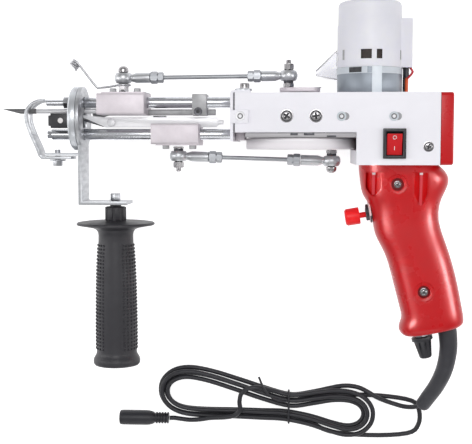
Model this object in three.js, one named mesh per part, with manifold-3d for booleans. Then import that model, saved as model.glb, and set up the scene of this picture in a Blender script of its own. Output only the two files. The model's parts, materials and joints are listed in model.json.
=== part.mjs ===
// Handheld tufting machine, lying on its left side.
// X runs from the needle to the rear cap, Y is up in the hand, Z is up off the table.
// Zero is the crank axis in X, the upper guide shaft in Y and the middle plane in Z.
import * as THREE from 'three';
import { mergeVertices } from 'three/addons/utils/BufferGeometryUtils.js';
import Module from 'manifold-3d';

const wasm = await Module();
wasm.setup();

// Fits and fineness
const clearance = 0.3;
const overrun = 1;
const mergeDistance = 0.001;
const roundSides = 20;
const smallSides = 10;
const largeSides = 26;

// Guide shafts
const shaftRadius = 4;
const shaftSpacing = 22.8;
const upperSpigotRadius = 2.5;
const upperSpigotLength = 19.6;
const upperNutRadius = 4.6;
const upperNutLength = 6.5;
const lowerShaftProud = 15.6;
const lowerScrewRadius = 3;
const lowerScrewLength = 3.3;

// Housing
const housingNoseGap = 0.4;
const housingStepGap = 8.9;
const housingTop = 5;
const housingFrontHeight = 27;
const housingRearHeight = 49;
const housingRearLength = 56;
const housingDepth = 82;
const housingWall = 1.5;
const slotLength = 7.6;
const slotHeight = 4;
const slotDrop = 16;
const frontSlotSetIn = 66;
const rearSlotSetIn = 31;
const gripMouthLength = 30;
const gripMouthWidth = 24;

// Front plate and its folded tabs
const frontPlateThickness = 2;
const frontPlateDrop = 6;
const tabThickness = 1.5;
const sideTabLength = 10;
const sideTabHeight = 8.8;
const sideTabDrop = 11.9;
const topTabLength = 11;
const topTabWidth = 14;
const topTabOffset = 28;
const tabBoltRadius = 3.6;
const tabBoltHeight = 3.6;

// Bottom plate
const bottomPlateThickness = 3.1;
const bottomPlateSetBack = 8;
const bearingBossRadius = 17;
const bearingBossHeight = 5.6;
const bearingLip = 1;

// Shaft block
const shaftBlockThickness = 6.2;
const shaftBlockWidth = 30;
const shaftBlockDrop = 5.2;

// Bearings
const bearingRadius = 13;
const bearingHeight = 8;
const bearingRaceWidth = 2.4;
const bearingGroove = 0.8;
const bearingFlangeSize = 40;
const bearingFlangeThickness = 3;

// Crank
const crankShaftRadius = 5;
const crankTopHoleRadius = 7;
const crankDiscRadius = 39.4;
const crankDiscThickness = 7.9;
const crankDiscRim = 0.6;
const crankDiscRecess = 1.2;
const crankDiscRecessRadius = 30;
const crankDiscHubRadius = 11;
const upperThrow = 9.3;
const lowerThrow = 21.6;
const armLift = 2;
const armThickness = 3;
const armPinRadius = 6.4;
const armTailRadius = 5.4;
const armTailReach = 8;

// Gears
const toothModule = 2;
const gearTeeth = 36;
const pinionTeeth = 12;
const gearThickness = 8;
const gearHubRadius = 9;
const gearHubHeight = 2.2;
const gearLift = 1;
const toothAddendumShare = 0.85;
const toothDedendumShare = 1.2;
const toothTipShare = 0.16;
const toothRootShare = 0.62;

// Motor
const motorRingRadius = 22.9;
const motorRingHeight = 15.1;
const motorCanRadius = 21.2;
const motorCanHeight = 46;
const motorBossRadius = 8.7;
const motorBossHeight = 3.4;
const motorShaftRadius = 2.5;
const motorEndBossRadius = 7;
const motorEndBossHeight = 3;
const fanRadius = 18.5;
const fanHubRadius = 6;
const fanHeight = 7;
const fanBlades = 7;
const fanBladeThickness = 1.2;
const fanBladePitchAngle = 32;

// Motor cover
const coverLift = 18.7;
const coverHeight = 46.1;
const coverWall = 1.4;
const coverRound = 3;
const coverStepDrop = 16.5;
const coverStepInset = 0.5;
const windowHeight = 6.5;
const windowLift = 5.2;
const wideWindowLength = 7.4;
const wideWindowOffset = -3.7;
const narrowWindowLength = 3.9;
const narrowWindowOffset = 5.3;
const edgeWindowWidth = 8;
const terminalBoxReach = 6.4;
const terminalBoxWidth = 17;
const terminalBoxHeight = 34.2;
const terminalBoxWall = 1.2;

// Air deflector on the side of the motor
const deflectorReach = 14.6;
const deflectorRootHeight = 10.8;
const deflectorRootWidth = 9.5;
const deflectorRootLift = 21.6;
const deflectorRootOffset = 11;
const deflectorMouthHeight = 2.2;
const deflectorMouthWidth = 3.2;
const deflectorMouthDrop = 5;
const deflectorMouthOffset = 22;
const deflectorWall = 0.9;
const deflectorSides = 16;

// Motor leads
const leadRadius = 1.3;
const leadHoleRadius = 2.2;
const leadSpacing = 5.2;
const leadTail = 5;
const leadSetBack = 3.4;
const leadBulge = 3;

// Front disc and handle bracket
const discFront = 164.8;
const discThickness = 5.3;
const discRadius = 23;
const discChamfer = 1.2;
const discWindowHalfWidth = 6.5;
const discWindowTop = 7.4;
const discWindowBottom = 18.2;
const needleSlotHalfWidth = 2.4;
const bracketThickness = 2.5;
const bracketWidth = 26;
const bracketDrop = 73.3;
const bracketFootReach = 35;
const footTabReach = 25.2;
const footTabThickness = 2.2;
const footTabWidth = 16;
const footTabDrop = 1.8;

// Presser foot
const footThickness = 2;
const footWidth = 17;
const footSlotWidth = 7.4;
const footSlotBottom = 24.5;
const footRear = 165;
const footToe = 186.4;
const footShinTop = 199;
const footCrownRear = 184.5;
const footCrownHeight = 1.6;
const footTravel = 6;
const footBoltSetBack = 176.9;
const footBoltRadius = 2;
const footBoltHeadRadius = 3.7;
const footBoltHeadHeight = 3.7;
const footWasherRadius = 5.8;
const footWasherThickness = 1;
const footBoltTip = 2.4;

// Black guide block on the front disc
const guideBlockLength = 15.4;
const guideBlockHeight = 10.5;
const guideBlockTop = 7.9;
const guideBlockWidth = 8;
const guideBlockOffset = 4.6;
const guideBlockNotch = 1.6;
const guideBlockNotchDepth = 1.5;

// Side handle
const handleSetBack = 24.5;
const handleBoltRadius = 3;
const handleBoltHeadRadius = 3.9;
const handleBoltHeadHeight = 5;
const handleBoltLength = 26;
const handleNeckRadius = 4;
const handleNeckHeight = 1.1;
const handleCollarRadius = 7.6;
const handleCollarHeight = 10.4;
const handleFlangeRadius = 28.4;
const handleFlangeHeight = 5.2;
const handleFlangeEdge = 2.2;
const handleGripTopRadius = 12.6;
const handleGripRadius = 14.5;
const handleGripLowRadius = 15;
const handleGripLength = 104.7;
const handleFlareRadius = 17.1;
const handleFlareHeight = 8.6;
const handleEndRound = 2;

// Needle slider
const needleSliderFront = 144.6;
const needleSliderLength = 33.8;
const sliderWidth = 36;
const needleSliderTop = 6.1;
const needleSliderBottom = 9;
const sliderCorner = 1.6;
const sliderLidThickness = 0.9;
const sliderLidInset = 3.2;
const needleStudSetBack = 128.1;

// Needle bar, needle and yarn guide
const needleBarRadius = 1.75;
const needleBarDrop = 6.05;
const needleBarLength = 67.5;
const needleBarSeat = 20;
const needleRadius = 1.9;
const needleBore = 1.2;
const needleLength = 26;
const needleSlantLength = 15;
const guideWireRadius = 0.7;
const guideRingRadius = 5.4;
const guideRingHeight = 1.6;
const guideRingDrop = 5.1;
const guideRun = 19;
const guideRise = 14.9;
const guideReach = 16.2;
const guideEyeRadius = 3;
const guideEyePitch = 1.75;
const guideEyeTurns = 2.75;
const guideDip = 1.8;

// Scissor slider and its blades
const scissorSliderFront = 106.1;
const scissorSliderLength = 33.8;
const scissorSliderTop = 15.4;
const scissorSliderBottom = 29.9;
const scissorStudSetBack = 88.4;
const bladeThickness = 2;
const bladeGap = 0.15;
const barRear = 59;
const barFront = 141;
const barTop = 10.6;
const barBottom = 17.8;
const bladeTip = 157.5;
const fixedTipTop = 9;
const fixedTipBottom = 10.6;
const bladePivotX = 137;
const bladePivotY = 14.4;
const bladePivotRadius = 1.6;
const bladePivotHeadRadius = 3;
const bladePivotHead = 1.4;
const movingTipTop = 12;
const movingTipBottom = 13.2;
const movingHeel = 17.3;
const tailTop = 11.9;
const tailBottom = 14.2;
const tailEnd = 96;
const padFront = 106.7;
const padLength = 8.9;
const padTop = 9.5;
const padBottom = 12;
const padDepth = 6.5;
const adjustScrewRadius = 1.6;
const adjustScrewLength = 3.2;

// Clamp collar and cam bar on the upper shaft
const collarFront = 77.7;
const collarLength = 10.5;
const collarTop = 5.7;
const collarBottom = 9.6;
const collarWidth = 16.4;
const camWidth = 4;
const camTop = 4.7;
const camBottom = 9;
const camRear = 62;
const camFront = 152;
const camRampStart = 140;
const camRampDepth = 2.7;
const camInset = 4.6;

// Rod ends, tie rods and their pins
const headRadius = 6.5;
const headHeight = 5.8;
const headShoulder = 1.5;
const ballRadius = 4.3;
const ballSides = 10;
const ballBands = 6;
const socketSteps = 4;
const neckRadius = 3;
const neckLength = 1.5;
const barrelRadius = 3.75;
const upperBarrelLength = 12.3;
const lowerBarrelLength = 14.7;
const barrelStart = 7.2;
const lockNutRadius = 4.4;
const lockNutLength = 5.4;
const stopNutLength = 4.4;
const nutRadiusStep = 0.3;
const tieRodRadius = 1.55;
const studRadius = 2;
const spacerRadius = 3.9;
const pinNutRadius = 3.9;
const pinNutHeight = 4.4;
const pinTip = 3;
const pinShortTip = 0.5;
const upperFrontPinRise = 17.6;
const upperRearPinRise = 18.8;
const lowerFrontPinDrop = 38.4;
const lowerRearPinDrop = 41.9;

// Rocker switch
const bezelWidth = 15.3;
const bezelHeight = 20.2;
const bezelThickness = 2;
const bezelFrame = 2.05;
const rockerSetIn = 30.6;
const rockerDrop = 34.5;
const switchBodyInset = 1;
const switchBodyDepth = 17;
const switchPocketDepth = 9;
const rockerWidth = 10.2;
const rockerReach = 7.3;
const rockerCrest = 3.2;
const rockerDip = 1;
const rockerKeel = 4;
const rockerKeelReach = 5;
const rockerTilt = 10;
const rockerPivotDepth = 1.4;

// Rear cap
const capThickness = 8.5;
const capCorner = 2.6;
const capEdge = 1.2;
const capWall = 2;
const capLipDepth = 4;
const capLipThickness = 1.5;

// Pistol grip
const gripWall = 2.5;
const gripLength = 124.3;
const gripHalfDepth = 17;
const gripTopHalfDepth = 20;
const gripSquareness = 2.7;
const gripRingPoints = 16;
const gripSeam = 0.15;
const gripBossBore = 1.5;

// Trigger button and its switch
const buttonAxisShares = [0.2429, 0.2848];
const buttonTilt = 9.3;
const buttonRadius = 6.1;
const buttonLength = 10.4;
const buttonRound = 1.2;
const buttonStand = 8.9;
const plungerRadius = 2.1;
const plungerLength = 14;
const buttonTravel = 3.2;
const triggerNutRadius = 5;
const triggerNutThickness = 2.6;
const triggerWasherRadius = 6.5;
const triggerWasherThickness = 1.1;
const triggerBarrelRadius = 4.2;
const triggerBodyGap = 1.8;
const triggerBodyLength = 13;
const triggerBodyHeight = 13;
const triggerBodyWidth = 12;

// Speed knob and its control
const knobAxisShares = [0.892, 0.9823];
const knobTilt = 12;
const knobFlangeRadius = 7.6;
const knobFlangeHeight = 2.4;
const knobRootRadius = 6.4;
const knobTipRadius = 4.4;
const knobLength = 15.6;
const knobTipRound = 0.8;
const knobFlutes = 9;
const knobFluteRadius = 0.9;
const knobBore = 3.3;
const knobBoreDepth = 9;
const controlShaftRadius = 3;
const controlNutRadius = 5;
const controlNutThickness = 1.5;
const controlBushRadius = 3.5;
const controlBodyRadius = 8;
const controlBodyHeight = 7;
const controlFloor = 5.9;

// Cord sleeve
const sleeveTopRadius = 6.7;
const sleeveEndRadius = 5.4;
const sleeveSides = 12;
const sleeveSteps = 10;
const sleeveCollarRadius = 8;
const sleeveCollarHeight = 2;

// Finishes
const finish = (color, roughness, metalness) =>
  new THREE.MeshStandardMaterial({ color, roughness, metalness });
const whitePaint = finish(0xeef0f3, 0.45, 0.1);
const redPlastic = finish(0xbe1c26, 0.35, 0);
const brightRed = finish(0xfa3237, 0.3, 0);
const steel = finish(0xc4c6ca, 0.3, 0.9);
const polishedSteel = finish(0xd8dadf, 0.15, 1);
const aluminium = finish(0xd2cdd2, 0.5, 0.7);
const darkSteel = finish(0x4a4a4e, 0.4, 0.8);
const blackPlastic = finish(0x2b2b30, 0.5, 0);
const nylon = finish(0xe6e2d6, 0.5, 0);
const clearPlastic = finish(0xe6e8ee, 0.2, 0);
const canSteel = finish(0x8e969e, 0.4, 0.8);
const orangeWire = finish(0xe05020, 0.5, 0);

// Solids from geometry, and back again
function toSolid(geometry) {
  const plain = geometry.clone();
  plain.deleteAttribute('normal');
  plain.deleteAttribute('uv');
  const merged = mergeVertices(plain, mergeDistance);
  const corners = merged.index.array;
  const triangles = Array.from({ length: corners.length / 3 }, (_, face) =>
    [corners[3 * face], corners[3 * face + 1], corners[3 * face + 2]]);
  return new wasm.Manifold(new wasm.Mesh({
    numProp: 3,
    vertProperties: Float32Array.from(merged.attributes.position.array),
    triVerts: Uint32Array.from(triangles.filter(([a, b, c]) => a !== b && b !== c && c !== a).flat()),
  }));
}

function toGeometry(solid) {
  const mesh = solid.getMesh();
  const geometry = new THREE.BufferGeometry();
  geometry.setAttribute('position', new THREE.BufferAttribute(mesh.vertProperties, 3));
  geometry.setIndex(new THREE.BufferAttribute(mesh.triVerts, 1));
  geometry.computeVertexNormals();
  return geometry;
}

function joined(...geometries) {
  return toGeometry(geometries.map(toSolid).reduce((all, next) => all.add(next)));
}

function cut(geometry, ...tools) {
  return toGeometry(tools.map(toSolid).reduce((rest, tool) => rest.subtract(tool), toSolid(geometry)));
}

function common(first, second) {
  return toGeometry(toSolid(first).intersect(toSolid(second)));
}

// Plain shapes placed in the machine's own coordinates
function block(low, high) {
  const size = high.map((value, index) => value - low[index]);
  const middle = high.map((value, index) => (value + low[index]) / 2);
  return new THREE.BoxGeometry(...size).translate(...middle);
}

function rodX(radius, from, to, y, z, sides = roundSides, endRadius = radius) {
  return new THREE.CylinderGeometry(endRadius, radius, to - from, sides)
    .rotateZ(-Math.PI / 2).translate((from + to) / 2, y, z);
}

function rodY(radius, from, to, x, z, sides = roundSides, endRadius = radius) {
  return new THREE.CylinderGeometry(endRadius, radius, to - from, sides)
    .translate(x, (from + to) / 2, z);
}

function rodZ(radius, from, to, x, y, sides = roundSides, endRadius = radius) {
  return new THREE.CylinderGeometry(endRadius, radius, to - from, sides)
    .rotateX(Math.PI / 2).translate(x, y, (from + to) / 2);
}

function turned(profile, x = 0, z = 0, sides = roundSides) {
  const points = profile.map(([radius, height]) => new THREE.Vector2(radius, height));
  const body = new THREE.LatheGeometry(points, sides);
  return toGeometry(toSolid(outward(body))).translate(x, 0, z);
}

function shapeOf(points) {
  return new THREE.Shape(points.map(([a, b]) => new THREE.Vector2(a, b)));
}

function extruded(shape, depth, options = {}) {
  return new THREE.ExtrudeGeometry(shape, { depth, bevelEnabled: false, ...options });
}

function plateZ(points, from, to) {
  return extruded(shapeOf(points), to - from).translate(0, 0, from);
}

// The outline of a plate across the shafts is given as [-z, y]
function plateX(shape, from, to, options) {
  return extruded(shape, to - from, options).rotateY(Math.PI / 2).translate(from, 0, 0);
}

function circlePoints(radius, x, y, from, to, steps) {
  return Array.from({ length: steps + 1 }, (_, index) => {
    const angle = from + (to - from) * index / steps;
    return [x + radius * Math.cos(angle), y + radius * Math.sin(angle)];
  });
}

function roundedRectangle(left, right, low, high, radius, steps = 4) {
  const turn = Math.PI / 2;
  return shapeOf([
    ...circlePoints(radius, right - radius, high - radius, 0, turn, steps),
    ...circlePoints(radius, left + radius, high - radius, turn, 2 * turn, steps),
    ...circlePoints(radius, left + radius, low + radius, 2 * turn, 3 * turn, steps),
    ...circlePoints(radius, right - radius, low + radius, 3 * turn, 4 * turn, steps),
  ]);
}

function signedVolume(geometry) {
  const index = geometry.index;
  const position = geometry.attributes.position;
  const [a, b, c] = [new THREE.Vector3(), new THREE.Vector3(), new THREE.Vector3()];
  let volume = 0;
  for (let corner = 0; corner < index.count; corner += 3) {
    a.fromBufferAttribute(position, index.getX(corner));
    b.fromBufferAttribute(position, index.getX(corner + 1));
    c.fromBufferAttribute(position, index.getX(corner + 2));
    volume += a.dot(b.cross(c));
  }
  return volume;
}

// Faces are turned to point out where a profile ran the other way
function outward(geometry) {
  if (signedVolume(geometry) < 0) {
    const index = geometry.index;
    for (let corner = 0; corner < index.count; corner += 3) {
      const second = index.getX(corner + 1);
      index.setX(corner + 1, index.getX(corner + 2));
      index.setX(corner + 2, second);
    }
  }
  return geometry;
}

// A closed skin through rings of points, with a flat fan over each end
function loft(rings) {
  const count = rings[0].length;
  const positions = rings.flat().flatMap((point) => point.toArray());
  const middles = [rings[0], rings.at(-1)].map((ring) =>
    ring.reduce((sum, point) => sum.add(point), new THREE.Vector3()).divideScalar(count));
  positions.push(...middles.flatMap((point) => point.toArray()));
  const first = rings.length * count;
  const index = [];
  for (let side = 0; side < count; side += 1) {
    const next = (side + 1) % count;
    for (let ring = 0; ring < rings.length - 1; ring += 1) {
      const here = ring * count;
      const there = here + count;
      index.push(here + side, here + next, there + next, here + side, there + next, there + side);
    }
    const last = first - count;
    index.push(first, next, side, first + 1, last + side, last + next);
  }
  const geometry = new THREE.BufferGeometry();
  geometry.setAttribute('position', new THREE.Float32BufferAttribute(positions, 3));
  geometry.setIndex(index);
  return outward(geometry);
}

// A round tube whose radius changes evenly along a curve
function taperedTube(curve, startRadius, endRadius, steps, sides) {
  const frames = curve.computeFrenetFrames(steps, false);
  return loft(Array.from({ length: steps + 1 }, (_, step) => {
    const share = step / steps;
    const centre = curve.getPointAt(share);
    const radius = startRadius + (endRadius - startRadius) * share;
    return Array.from({ length: sides }, (__, side) => {
      const angle = 2 * Math.PI * side / sides;
      return centre.clone()
        .addScaledVector(frames.normals[step], radius * Math.cos(angle))
        .addScaledVector(frames.binormals[step], radius * Math.sin(angle));
    });
  }));
}

function wire(curve, radius, steps, sides) {
  return taperedTube(curve, radius, radius, steps, sides);
}

// Places worked out from the sizes
const gearTipRadius = toothModule * (gearTeeth / 2 + toothAddendumShare);
const crankReach = Math.max(crankDiscRadius, gearTipRadius);
const housing = {
  front: -crankReach - housingNoseGap - shaftBlockThickness,
  rear: lowerThrow + headRadius + housingStepGap + housingRearLength,
  top: housingTop,
  frontBottom: housingTop - housingFrontHeight,
  rearBottom: housingTop - housingRearHeight,
  step: lowerThrow + headRadius + housingStepGap,
  side: housingDepth / 2,
};
const lowerShaftY = -shaftSpacing;
const discY = -shaftSpacing / 2;
const discBack = discThickness - discFront;
const bracketFront = discBack + clearance;
const bracketBack = bracketFront + bracketThickness;
const motorX = toothModule * (gearTeeth + pinionTeeth) / 2;
const motorFloor = housing.top + clearance;
const coverFloor = housing.top + coverLift;
const coverTop = coverFloor + coverHeight;
const coverRadius = motorCanRadius + clearance + coverWall;
const plateTop = housing.frontBottom - clearance;
const plateBottom = plateTop - bottomPlateThickness;
const crankDiscTop = plateBottom - clearance;
const crankDiscBottom = crankDiscTop - crankDiscThickness;
const gearBottom = plateTop + bearingBossHeight + gearLift;
const gearTop = gearBottom + gearThickness;
const armBottom = housing.top + armLift + clearance;
const armTop = armBottom + armThickness;
const shaftEnd = housing.front + shaftBlockThickness;
const handleX = bracketFront + handleSetBack;

const machine = new THREE.Group();

function piece(name, geometry, material, parent = machine) {
  const mesh = new THREE.Mesh(geometry, material);
  mesh.name = name;
  parent.add(mesh);
  return mesh;
}

// Housing: a bent sheet box, open at the nose, at the rear and under the crank
function housingShell() {
  const { front, rear, top, frontBottom, rearBottom, step, side } = housing;
  const inside = side - housingWall;
  const outer = plateZ([
    [front, top], [rear, top], [rear, rearBottom], [step, rearBottom],
    [step, frontBottom], [front, frontBottom],
  ], -side, side);
  const hollow = plateZ([
    [front - overrun, top - housingWall], [rear + overrun, top - housingWall],
    [rear + overrun, rearBottom + housingWall], [step + housingWall, rearBottom + housingWall],
    [step + housingWall, frontBottom], [step, frontBottom],
    [step, frontBottom - overrun], [front - overrun, frontBottom - overrun],
  ], -inside, inside);
  const through = [top - housingWall - overrun, top + overrun];
  const slot = (setIn) => block(
    [rear - setIn - slotLength / 2, top - slotDrop - slotHeight / 2, inside - overrun],
    [rear - setIn + slotLength / 2, top - slotDrop + slotHeight / 2, side + overrun]);
  const halfBody = bezelWidth / 2 - switchBodyInset + clearance;
  const halfTall = bezelHeight / 2 - switchBodyInset + clearance;
  const rockerX = rear - rockerSetIn;
  const rockerY = top - rockerDrop;
  const gripX = gripStations[0].middle.x;
  return cut(outer, hollow,
    rodY(crankTopHoleRadius, ...through, 0, 0),
    rodY(motorBossRadius + clearance, ...through, motorX, 0),
    rodX(shaftRadius + clearance, front - overrun, shaftEnd, 0, 0),
    ...[-1, 1].map((hand) => rodY(leadHoleRadius, ...through, leadX(), hand * leadSpacing / 2)),
    slot(frontSlotSetIn), slot(rearSlotSetIn),
    block([step - overrun, crankDiscBottom - clearance * 2, -inside],
      [step + housingWall + overrun, frontBottom + overrun, inside]),
    block([rockerX - halfBody, rockerY - halfTall, inside - overrun],
      [rockerX + halfBody, rockerY + halfTall, side + overrun]),
    block([gripX - gripMouthLength / 2, rearBottom - overrun, -gripMouthWidth / 2],
      [gripX + gripMouthLength / 2, rearBottom + housingWall + overrun, gripMouthWidth / 2]));
}

function frontPlate() {
  const { front, top, frontBottom, side } = housing;
  const back = front - clearance;
  const face = back - frontPlateThickness;
  const sideLow = side + clearance;
  const sideHigh = sideLow + tabThickness;
  const topLow = top + clearance;
  const topHigh = topLow + tabThickness;
  const sheet = block([face, frontBottom - frontPlateDrop, -side], [back, top, side]);
  const sideTop = top - sideTabDrop;
  const holes = [0, lowerShaftY].map((y) =>
    rodX(shaftRadius + clearance, face - overrun, back + overrun, y, 0));
  return cut(joined(sheet,
    block([face, sideTop - sideTabHeight, side - tabThickness], [back, sideTop, sideHigh]),
    block([face, sideTop - sideTabHeight, sideLow], [front + sideTabLength, sideTop, sideHigh]),
    block([face, top - tabThickness, topTabOffset - topTabWidth / 2],
      [back, topHigh, topTabOffset + topTabWidth / 2]),
    block([face, topLow, topTabOffset - topTabWidth / 2],
      [front + topTabLength, topHigh, topTabOffset + topTabWidth / 2]),
    rodY(tabBoltRadius, topHigh - tabThickness / 2, topHigh + tabBoltHeight,
      front + topTabLength / 2, topTabOffset, smallSides)), ...holes);
}

function bottomPlate() {
  const { front, step, side } = housing;
  const bossTop = plateTop + bearingBossHeight;
  return cut(
    joined(block([front + bottomPlateSetBack, plateBottom, -side], [step - clearance, plateTop, side]),
      rodY(bearingBossRadius, plateTop - bottomPlateThickness / 2, bossTop, 0, 0, largeSides)),
    rodY(bearingRadius + clearance, plateBottom + bearingLip, bossTop + overrun, 0, 0, largeSides),
    rodY(bearingRadius - bearingRaceWidth, plateBottom - overrun, plateTop, 0, 0));
}

// A ball bearing seen from its ends: two races and the shield sunk between them
function bearingRing(low, bore) {
  const high = low + bearingHeight;
  const innerRace = bore + bearingRaceWidth;
  const outerRace = bearingRadius - bearingRaceWidth;
  return turned([
    [bore, low], [bearingRadius, low], [bearingRadius, high], [outerRace, high],
    [outerRace, high - bearingGroove], [innerRace, high - bearingGroove], [innerRace, high],
    [bore, high], [bore, low],
  ], 0, 0, roundSides);
}

function upperBearing() {
  const ceiling = housing.top - housingWall - clearance;
  const half = bearingFlangeSize / 2;
  return cut(
    joined(block([-half, ceiling - bearingFlangeThickness, -half], [half, ceiling, half]),
      rodY(bearingRadius, ceiling - bearingHeight, ceiling - bearingFlangeThickness / 2, 0, 0)),
    rodY(crankShaftRadius + clearance, ceiling - bearingHeight - overrun, ceiling + overrun, 0, 0));
}

function shaftBlock() {
  const { front, top } = housing;
  const low = housing.frontBottom - shaftBlockDrop;
  const half = shaftBlockWidth / 2;
  const body = block([front, low, -half], [shaftEnd, top - housingWall - clearance, half]);
  return cut(body, ...[0, lowerShaftY].map((y) =>
    rodX(shaftRadius + clearance, front - overrun, shaftEnd - overrun, y, 0)));
}

// Guide shafts
function upperGuideShaft() {
  const nutBack = -discFront - clearance;
  return joined(
    rodX(shaftRadius, -discFront, shaftEnd - overrun - clearance, 0, 0),
    rodX(upperSpigotRadius, -discFront - upperSpigotLength, -discFront + overrun, 0, 0, smallSides),
    rodX(upperNutRadius, nutBack - upperNutLength, nutBack, 0, 0, 6));
}

function lowerGuideShaft() {
  const front = -discFront - lowerShaftProud;
  return joined(
    rodX(shaftRadius, front, shaftEnd - overrun - clearance, lowerShaftY, 0),
    rodX(lowerScrewRadius, front - lowerScrewLength, front + overrun, lowerShaftY, 0, smallSides));
}

// The windows in the disc and in the bracket let the needle bar and the blades through
function frontWindows(from, to) {
  const half = discWindowHalfWidth;
  return [
    block([from, -discWindowBottom, -half], [to, -discWindowTop, half]),
    block([from, -discWindowTop - overrun, -needleSlotHalfWidth], [to, -shaftRadius, needleSlotHalfWidth]),
    rodX(shaftRadius + clearance, from, to, 0, 0),
    rodX(shaftRadius + clearance, from, to, lowerShaftY, 0),
  ];
}

function frontDisc() {
  const body = joined(
    rodX(discRadius - discChamfer, -discFront, discChamfer - discFront, discY, 0, largeSides, discRadius),
    rodX(discRadius, discChamfer - discFront, discBack, discY, 0, largeSides));
  return cut(body, ...frontWindows(-discFront - overrun, discBack + overrun));
}

function handleBracket() {
  const half = bracketWidth / 2;
  const tabTop = discY - discRadius - footTabDrop;
  const tabFront = bracketFront - footTabReach;
  const footTop = bracketThickness - bracketDrop;
  const body = joined(
    rodX(discRadius, bracketFront, bracketBack, discY, 0, largeSides),
    block([bracketFront, -bracketDrop, -half], [bracketBack, discY, half]),
    block([bracketFront, -bracketDrop, -half], [bracketFront + bracketFootReach, footTop, half]),
    block([tabFront, tabTop - footTabThickness, -footTabWidth / 2],
      [bracketBack, tabTop, footTabWidth / 2]));
  return cut(body,
    ...frontWindows(bracketFront - overrun, bracketBack + overrun),
    rodY(footBoltRadius + clearance, tabTop - footTabThickness - overrun, tabTop + overrun,
      -footBoltSetBack, 0, smallSides),
    rodY(handleBoltRadius + clearance, -bracketDrop - overrun, footTop + overrun, handleX, 0));
}

// Shares of the shin's reach and rise that the presser foot's strip passes through
const footBendShares = [
  [0.1, 0.02], [0.32, 0.21], [0.68, 0.49], [0.92, 0.76], [0.87, 0.95], [0.57, 1.07], [0.2, 1.13],
];

// Presser foot: a bent strip with a fork for the needle
function footTop() {
  return discY - discRadius - footTabDrop - footTabThickness - clearance;
}

function presserFoot() {
  const flat = footTop();
  const half = footThickness / 2;
  const reach = footShinTop - footToe;
  const rise = discRadius - discY + footTabDrop;
  const line = new THREE.CatmullRomCurve3([
    [-footToe, flat - half],
    ...footBendShares.map(([across, up]) => [-footToe - reach * across, flat - half + rise * up]),
    [-footCrownRear, footCrownHeight],
  ].map(([x, y]) => new THREE.Vector3(x, y, 0)), false, 'centripetal');
  const steps = 22;
  const outer = [];
  const inner = [];
  for (let step = 0; step <= steps; step += 1) {
    const point = line.getPointAt(step / steps);
    const along = line.getTangentAt(step / steps);
    outer.push([point.x + along.y * half, point.y - along.x * half]);
    inner.push([point.x - along.y * half, point.y + along.x * half]);
  }
  const outline = [[-footRear, flat], [-footRear, flat - footThickness], ...inner, ...outer.reverse()];
  const strip = plateZ(outline, -footWidth / 2, footWidth / 2);
  const slotHalf = footBoltRadius + clearance;
  return cut(strip,
    block([-footShinTop - footWidth, -footSlotBottom, -footSlotWidth / 2],
      [-footCrownRear + footWidth, footCrownHeight + footWidth, footSlotWidth / 2]),
    block([-footBoltSetBack - slotHalf, flat - footThickness - overrun, -slotHalf],
      [-footBoltSetBack + footTravel + slotHalf, flat + overrun, slotHalf]));
}

function footBolt() {
  const washerTop = footTop() - footThickness - clearance;
  const washerLow = washerTop - footWasherThickness;
  const tip = discY - discRadius - footTabDrop + footBoltTip;
  return joined(
    rodY(footBoltRadius, washerLow, tip, -footBoltSetBack, 0, smallSides),
    rodY(footWasherRadius, washerLow, washerTop, -footBoltSetBack, 0),
    rodY(footBoltHeadRadius, washerLow - footBoltHeadHeight, washerLow + footWasherThickness / 2,
      -footBoltSetBack, 0, 6));
}

function guideBlock() {
  const back = -discFront - clearance;
  const front = back - guideBlockLength;
  const low = -guideBlockTop - guideBlockHeight;
  const far = guideBlockOffset;
  const near = far + guideBlockWidth;
  return cut(block([front, low, far], [back, -guideBlockTop, near]),
    block([front - overrun, low - overrun, far - overrun],
      [front + guideBlockNotch, low + guideBlockNotchDepth, near + overrun]),
    block([front - overrun, -guideBlockTop - guideBlockNotchDepth, far - overrun],
      [front + guideBlockNotch, overrun - guideBlockTop, near + overrun]));
}

// Side handle, hung from the bracket by its bolt
function sideHandle() {
  const top = -bracketDrop - clearance;
  const collarTop = top - handleNeckHeight;
  const flangeTop = collarTop - handleCollarHeight;
  const flangeBottom = flangeTop - handleFlangeHeight;
  const end = flangeBottom - handleGripLength;
  const boreEnd = -bracketDrop - handleBoltLength;
  const middle = (flangeBottom + end) / 2;
  const bore = handleBoltRadius + clearance;
  return turned([
    [bore, top], [handleNeckRadius, top], [handleNeckRadius, collarTop], [handleCollarRadius, collarTop],
    [handleCollarRadius, flangeTop], [handleFlangeRadius - handleFlangeEdge, flangeTop],
    [handleFlangeRadius, flangeTop - handleFlangeHeight / 2],
    [handleFlangeRadius - handleFlangeEdge, flangeBottom], [handleGripTopRadius, flangeBottom],
    [handleGripRadius, middle], [handleGripLowRadius, end + handleFlareHeight + handleEndRound],
    [handleFlareRadius, end + handleFlareHeight / 2], [handleFlareRadius, end + handleEndRound],
    [handleFlareRadius - handleEndRound, end], [0, end], [0, boreEnd], [bore, boreEnd], [bore, top],
  ], handleX, 0, largeSides);
}

function sideHandleBolt() {
  const headBottom = bracketThickness - bracketDrop + clearance;
  return joined(
    rodY(handleBoltHeadRadius, headBottom, headBottom + handleBoltHeadHeight, handleX, 0, 6),
    rodY(handleBoltRadius, clearance - bracketDrop - handleBoltLength, headBottom + overrun, handleX, 0));
}

// Sliders: aluminium blocks bored for their shafts
function sliderBlock(front, length, low, high) {
  const corner = sliderCorner;
  const half = sliderWidth / 2;
  return plateX(roundedRectangle(-half, half, low, high, corner, 3), -front, length - front);
}

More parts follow.
